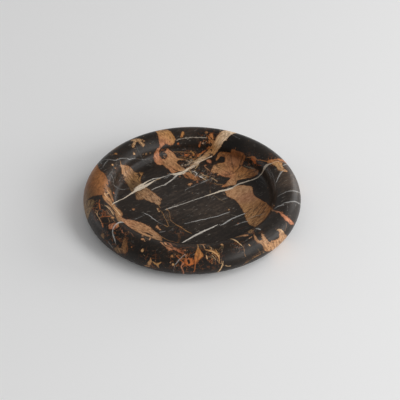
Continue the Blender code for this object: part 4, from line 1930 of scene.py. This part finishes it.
    def unrolled(self, points: Array) -> Array:
        """Lay points of the surface out flat.

        The distance along the surface from the middle of the floor becomes the distance
        from the middle of the plan. Under the rim the pattern turns and runs back, a
        little shifted, to the middle of the base.

        Args:
            points: Points on the surface, in millimetres.

        Returns:
            Rows of x and y on the plan.
        """
        radius = np.hypot(points[:, 0], points[:, 1])
        height = points[:, 2]
        middle_x, middle_z = self.cove_middle
        cove_angle = np.arctan2(height - middle_z, radius - middle_x) + math.pi / 2
        rim_angle = np.arctan2(height - self.ring_height, radius - self.ring_radius)
        past = (math.pi + self.lean - rim_angle) % math.tau
        on_cove = self.cove_start + self.cove_radius * cove_angle
        along = np.where(radius < self.cove_start, radius, on_cove)
        rim_contact = middle_x + self.cove_radius * math.cos(self.lean)
        on_rim = (radius > rim_contact - TOUCH) | (height < self.ring_height)
        on_rim &= radius > self.ring_radius - self.rim_radius - TOUCH
        along = np.where(on_rim, self.rim_start + self.rim_radius * past, along)
        under = (height < self.base_height + TOUCH) & (radius < self.ring_radius)
        along = np.where(under, self.rim_end + self.ring_radius - radius, along)
        whole = self.rim_end + self.ring_radius
        back = np.clip((along - self.fold) / (whole - self.fold), 0.0, 1.0)
        laid = np.where(along > self.fold, self.fold * (1.0 - back), along)
        scale = laid / np.maximum(radius, TRACE)
        plan = points[:, :2] * scale[:, None]
        return plan + self.drawing_shift + back[:, None] * np.array(self.base_shift)

    def _paint(self, mesh: bpy.types.Mesh) -> None:
        """Store the pattern of the stone as attributes.

        Args:
            mesh: The mesh of the stone.
        """
        count = len(mesh.vertices)
        points = np.zeros(count * 3, np.float32)
        mesh.vertices.foreach_get("co", points)
        plan = self.unrolled(points.reshape(-1, 3).astype(float) / MM)
        for name, rows in StonePattern().measure(plan).items():
            single = rows.shape[1] == 1
            kind = "FLOAT" if single else "FLOAT_VECTOR"
            attribute = mesh.attributes.new(name, kind, "POINT")
            flat = np.ascontiguousarray(rows, np.float32).ravel()
            attribute.data.foreach_set("value" if single else "vector", flat)

    def build(self) -> bpy.types.Object:
        """Make the stone and set it on the frame.

        Returns:
            The finished piece.
        """
        turned = bmesh.new()
        self._profile(turned)
        self._turn(turned)
        stone = new_piece("tray_stone", turned, Marble().material())
        self._paint(stone.data)
        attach(stone, BODY)
        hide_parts("tray_body")
        return stone


@dataclass(frozen=True)
class FeltPad:
    """One stick-on felt pad, with the film that holds it.

    Attributes:
        node: CAD node that it stands for.
        stone_base: Height of the stone's base in millimetres.
        sides: Number of sides of the disc.
        edge_round: Radius of the felt's soft edges.
        edge_runs: Number of divisions of an edge.
        film_inset: How far the film stops short of the felt's edge.
        film_gap: Clearance of the film on either face.
        film_round: Radius of the film's edges.
    """

    node: str
    stone_base: float
    sides: int = 96
    edge_round: float = 0.4
    edge_runs: int = 3
    film_inset: float = 0.6
    film_gap: float = 0.02
    film_round: float = 0.05

    def _disc(
        self, middle: Vector, radius: float, low: float, high: float, edge: float
    ) -> bmesh.types.BMesh:
        """Make a disc with rounded edges.

        Args:
            middle: Centre on the plan, in metres.
            radius: Its radius in millimetres.
            low: Height of its underside.
            high: Height of its top.
            edge: Radius of its edges.

        Returns:
            The closed bmesh.
        """
        disc = bmesh.new()
        place = Matrix.Translation((middle.x, middle.y, low * MM))
        bmesh.ops.create_circle(
            disc, cap_ends=True, segments=self.sides, radius=radius * MM, matrix=place
        )
        raised = bmesh.ops.extrude_face_region(disc, geom=disc.faces[:] + disc.edges[:])
        top = [item for item in raised["geom"] if isinstance(item, bmesh.types.BMVert)]
        bmesh.ops.translate(disc, verts=top, vec=(0.0, 0.0, (high - low) * MM))
        bmesh.ops.remove_doubles(disc, verts=disc.verts[:], dist=MERGE_DISTANCE)
        bmesh.ops.recalc_face_normals(disc, faces=disc.faces[:])
        sharp = [rim for rim in disc.edges if rim.calc_face_angle(0.0) > SHARP_ANGLE]
        bmesh.ops.bevel(
            disc,
            geom=sharp,
            offset=edge * MM,
            segments=self.edge_runs,
            profile=0.5,
            affect="EDGES",
            material=-1,
        )
        return disc

    def build(self, felt: bpy.types.Material, glue: bpy.types.Material) -> list[bpy.types.Object]:
        """Make the pad and its film, and set them on the frame.

        Args:
            felt: Material of the pad.
            glue: Material of the film.

        Returns:
            The pad and the film.
        """
        low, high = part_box(self.node)
        middle = (low + high) / 2
        radius = (high.x - low.x) / 2 / MM
        top = high.z / MM
        disc = self._disc(middle, radius, low.z / MM, top, self.edge_round)
        pad = new_piece(self.node.replace("felt_pad", "pad_felt"), disc, felt)
        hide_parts(self.node)
        film_radius = radius - self.film_inset
        film_top = self.stone_base - self.film_gap
        thin = self._disc(middle, film_radius, top + self.film_gap, film_top, self.film_round)
        film = new_piece(self.node.replace("felt_pad", "pad_film"), thin, glue)
        for piece in (pad, film):
            piece.data.set_sharp_from_angle(angle=SMOOTH_ANGLE)
            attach(piece, BODY)
        return [pad, film]


@dataclass(frozen=True)
class Softbox:
    """One round soft light.

    Attributes:
        azimuth: Its direction from +X towards +Y, in degrees.
        elevation: Its height over the horizon, in degrees.
        power: Its power in watts.
    """

    azimuth: float
    elevation: float
    power: float


@dataclass(frozen=True)
class Studio:
    """The pale floor, the soft lights and the camera.

    Attributes:
        target: Point that the camera looks at, in metres.
        elevation: Height of the camera over the horizon, in degrees.
        distance: Distance of the camera in metres.
        lens: Focal length in millimetres.
        sensor: Width of the camera's sensor in millimetres.
        shift: Shift of the picture, to place the tray as in the photograph.
        floor_half: Half the width of the floor in metres.
        paper: Darkest and lightest colour of the floor.
        paper_clouds: Broad clouds of the floor.
        softboxes: The soft lights, most of them low on the right as a wide window.
        softbox_distance: Their distance in metres.
        softbox_size: Their diameter in metres.
        surround: Strength of the light from all around.
    """

    target: tuple[float, float, float] = (0.0, 0.0, 0.0218)
    elevation: float = 39.0
    distance: float = 1.8
    lens: float = 117.2
    sensor: float = 36.0
    shift: tuple[float, float] = (0.0197, -0.009)
    floor_half: float = 8.0
    paper: tuple[Colour, Colour] = ((0.87, 0.87, 0.87), (0.89, 0.89, 0.89))
    paper_clouds: Grain = Grain(900.0)
    softboxes: tuple[Softbox, ...] = (
        Softbox(-45.0, 12.0, 35.0),
        Softbox(0.0, 12.0, 46.0),
        Softbox(45.0, 12.0, 25.0),
        Softbox(-30.0, 32.0, 31.0),
        Softbox(0.0, 52.0, 22.0),
        Softbox(165.0, 12.0, 12.0),
    )
    softbox_distance: float = 3.5
    softbox_size: float = 1.7
    surround: float = 0.36

    def camera(self) -> None:
        """Place the camera as in the photograph."""
        data = bpy.data.cameras.new("photo_camera")
        data.lens = self.lens
        data.sensor_width = self.sensor
        data.shift_x, data.shift_y = self.shift
        camera = bpy.data.objects.new("photo_camera", data)
        angle = math.radians(self.elevation)
        back = Vector((0.0, -math.cos(angle), math.sin(angle)))
        camera.location = Vector(self.target) + back * self.distance
        camera.rotation_euler = (-back).to_track_quat("-Z", "Y").to_euler()
        bpy.context.scene.collection.objects.link(camera)
        bpy.context.scene.camera = camera

    def floor(self) -> None:
        """Lay the pale floor."""
        nodes = Nodes("pale_paper")
        colour = nodes.mix(nodes.noise(nodes.place(), self.paper_clouds), *self.paper)
        material = nodes.finish(Base_Color=colour, Roughness=0.9, Specular_IOR_Level=0.1)
        laid = bmesh.new()
        bmesh.ops.create_grid(laid, x_segments=2, y_segments=2, size=self.floor_half)
        new_piece("paper_floor", laid, material)

    def _hang(self, number: int, box: Softbox) -> None:
        """Hang one softbox, facing the tray.

        Args:
            number: Its number, for its name.
            box: The softbox.
        """
        name = f"softbox_{number}"
        data = bpy.data.lights.new(name, "AREA")
        data.shape = "DISK"
        data.size = self.softbox_size
        data.energy = box.power
        turn, rise = math.radians(box.azimuth), math.radians(box.elevation)
        towards = Vector(
            (math.cos(turn) * math.cos(rise), math.sin(turn) * math.cos(rise), math.sin(rise))
        )
        light = bpy.data.objects.new(name, data)
        light.location = towards * self.softbox_distance
        light.rotation_euler = towards.to_track_quat("Z", "Y").to_euler()
        bpy.context.scene.collection.objects.link(light)

    def lights(self) -> None:
        """Hang the softboxes in an even pale surround."""
        for number, box in enumerate(self.softboxes, 1):
            self._hang(number, box)
        world = bpy.data.worlds.new("studio")
        world.use_nodes = True
        background = world.node_tree.nodes["Background"]
        background.inputs["Color"].default_value = (1.0, 1.0, 1.0, 1.0)
        background.inputs["Strength"].default_value = self.surround
        bpy.context.scene.world = world

    def build(self) -> None:
        """Set up the studio."""
        self.camera()
        self.floor()
        self.lights()
        bpy.context.scene.view_settings.view_transform = "Standard"


def report(piece: bpy.types.Object) -> None:
    """Log a piece's size and number of faces."""
    size = tuple(round(length / MM, 1) for length in piece.dimensions)
    LOG.info("%s: %d faces, %s mm", piece.name, len(piece.data.polygons), size)


def main() -> None:
    """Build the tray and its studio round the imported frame."""
    logging.basicConfig(level=logging.INFO, format="%(name)s: %(message)s")
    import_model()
    Studio().build()
    tray = StoneTray.from_node("tray_body")
    report(tray.build())
    felt, glue = Felt().material(), Adhesive().material()
    for number in range(PAD_COUNT):
        pad = FeltPad(f"felt_pad_{number + 1}", tray.base_height)
        for piece in pad.build(felt, glue):
            report(piece)
    bpy.context.view_layer.update()


if __name__ == "__main__":
    main()
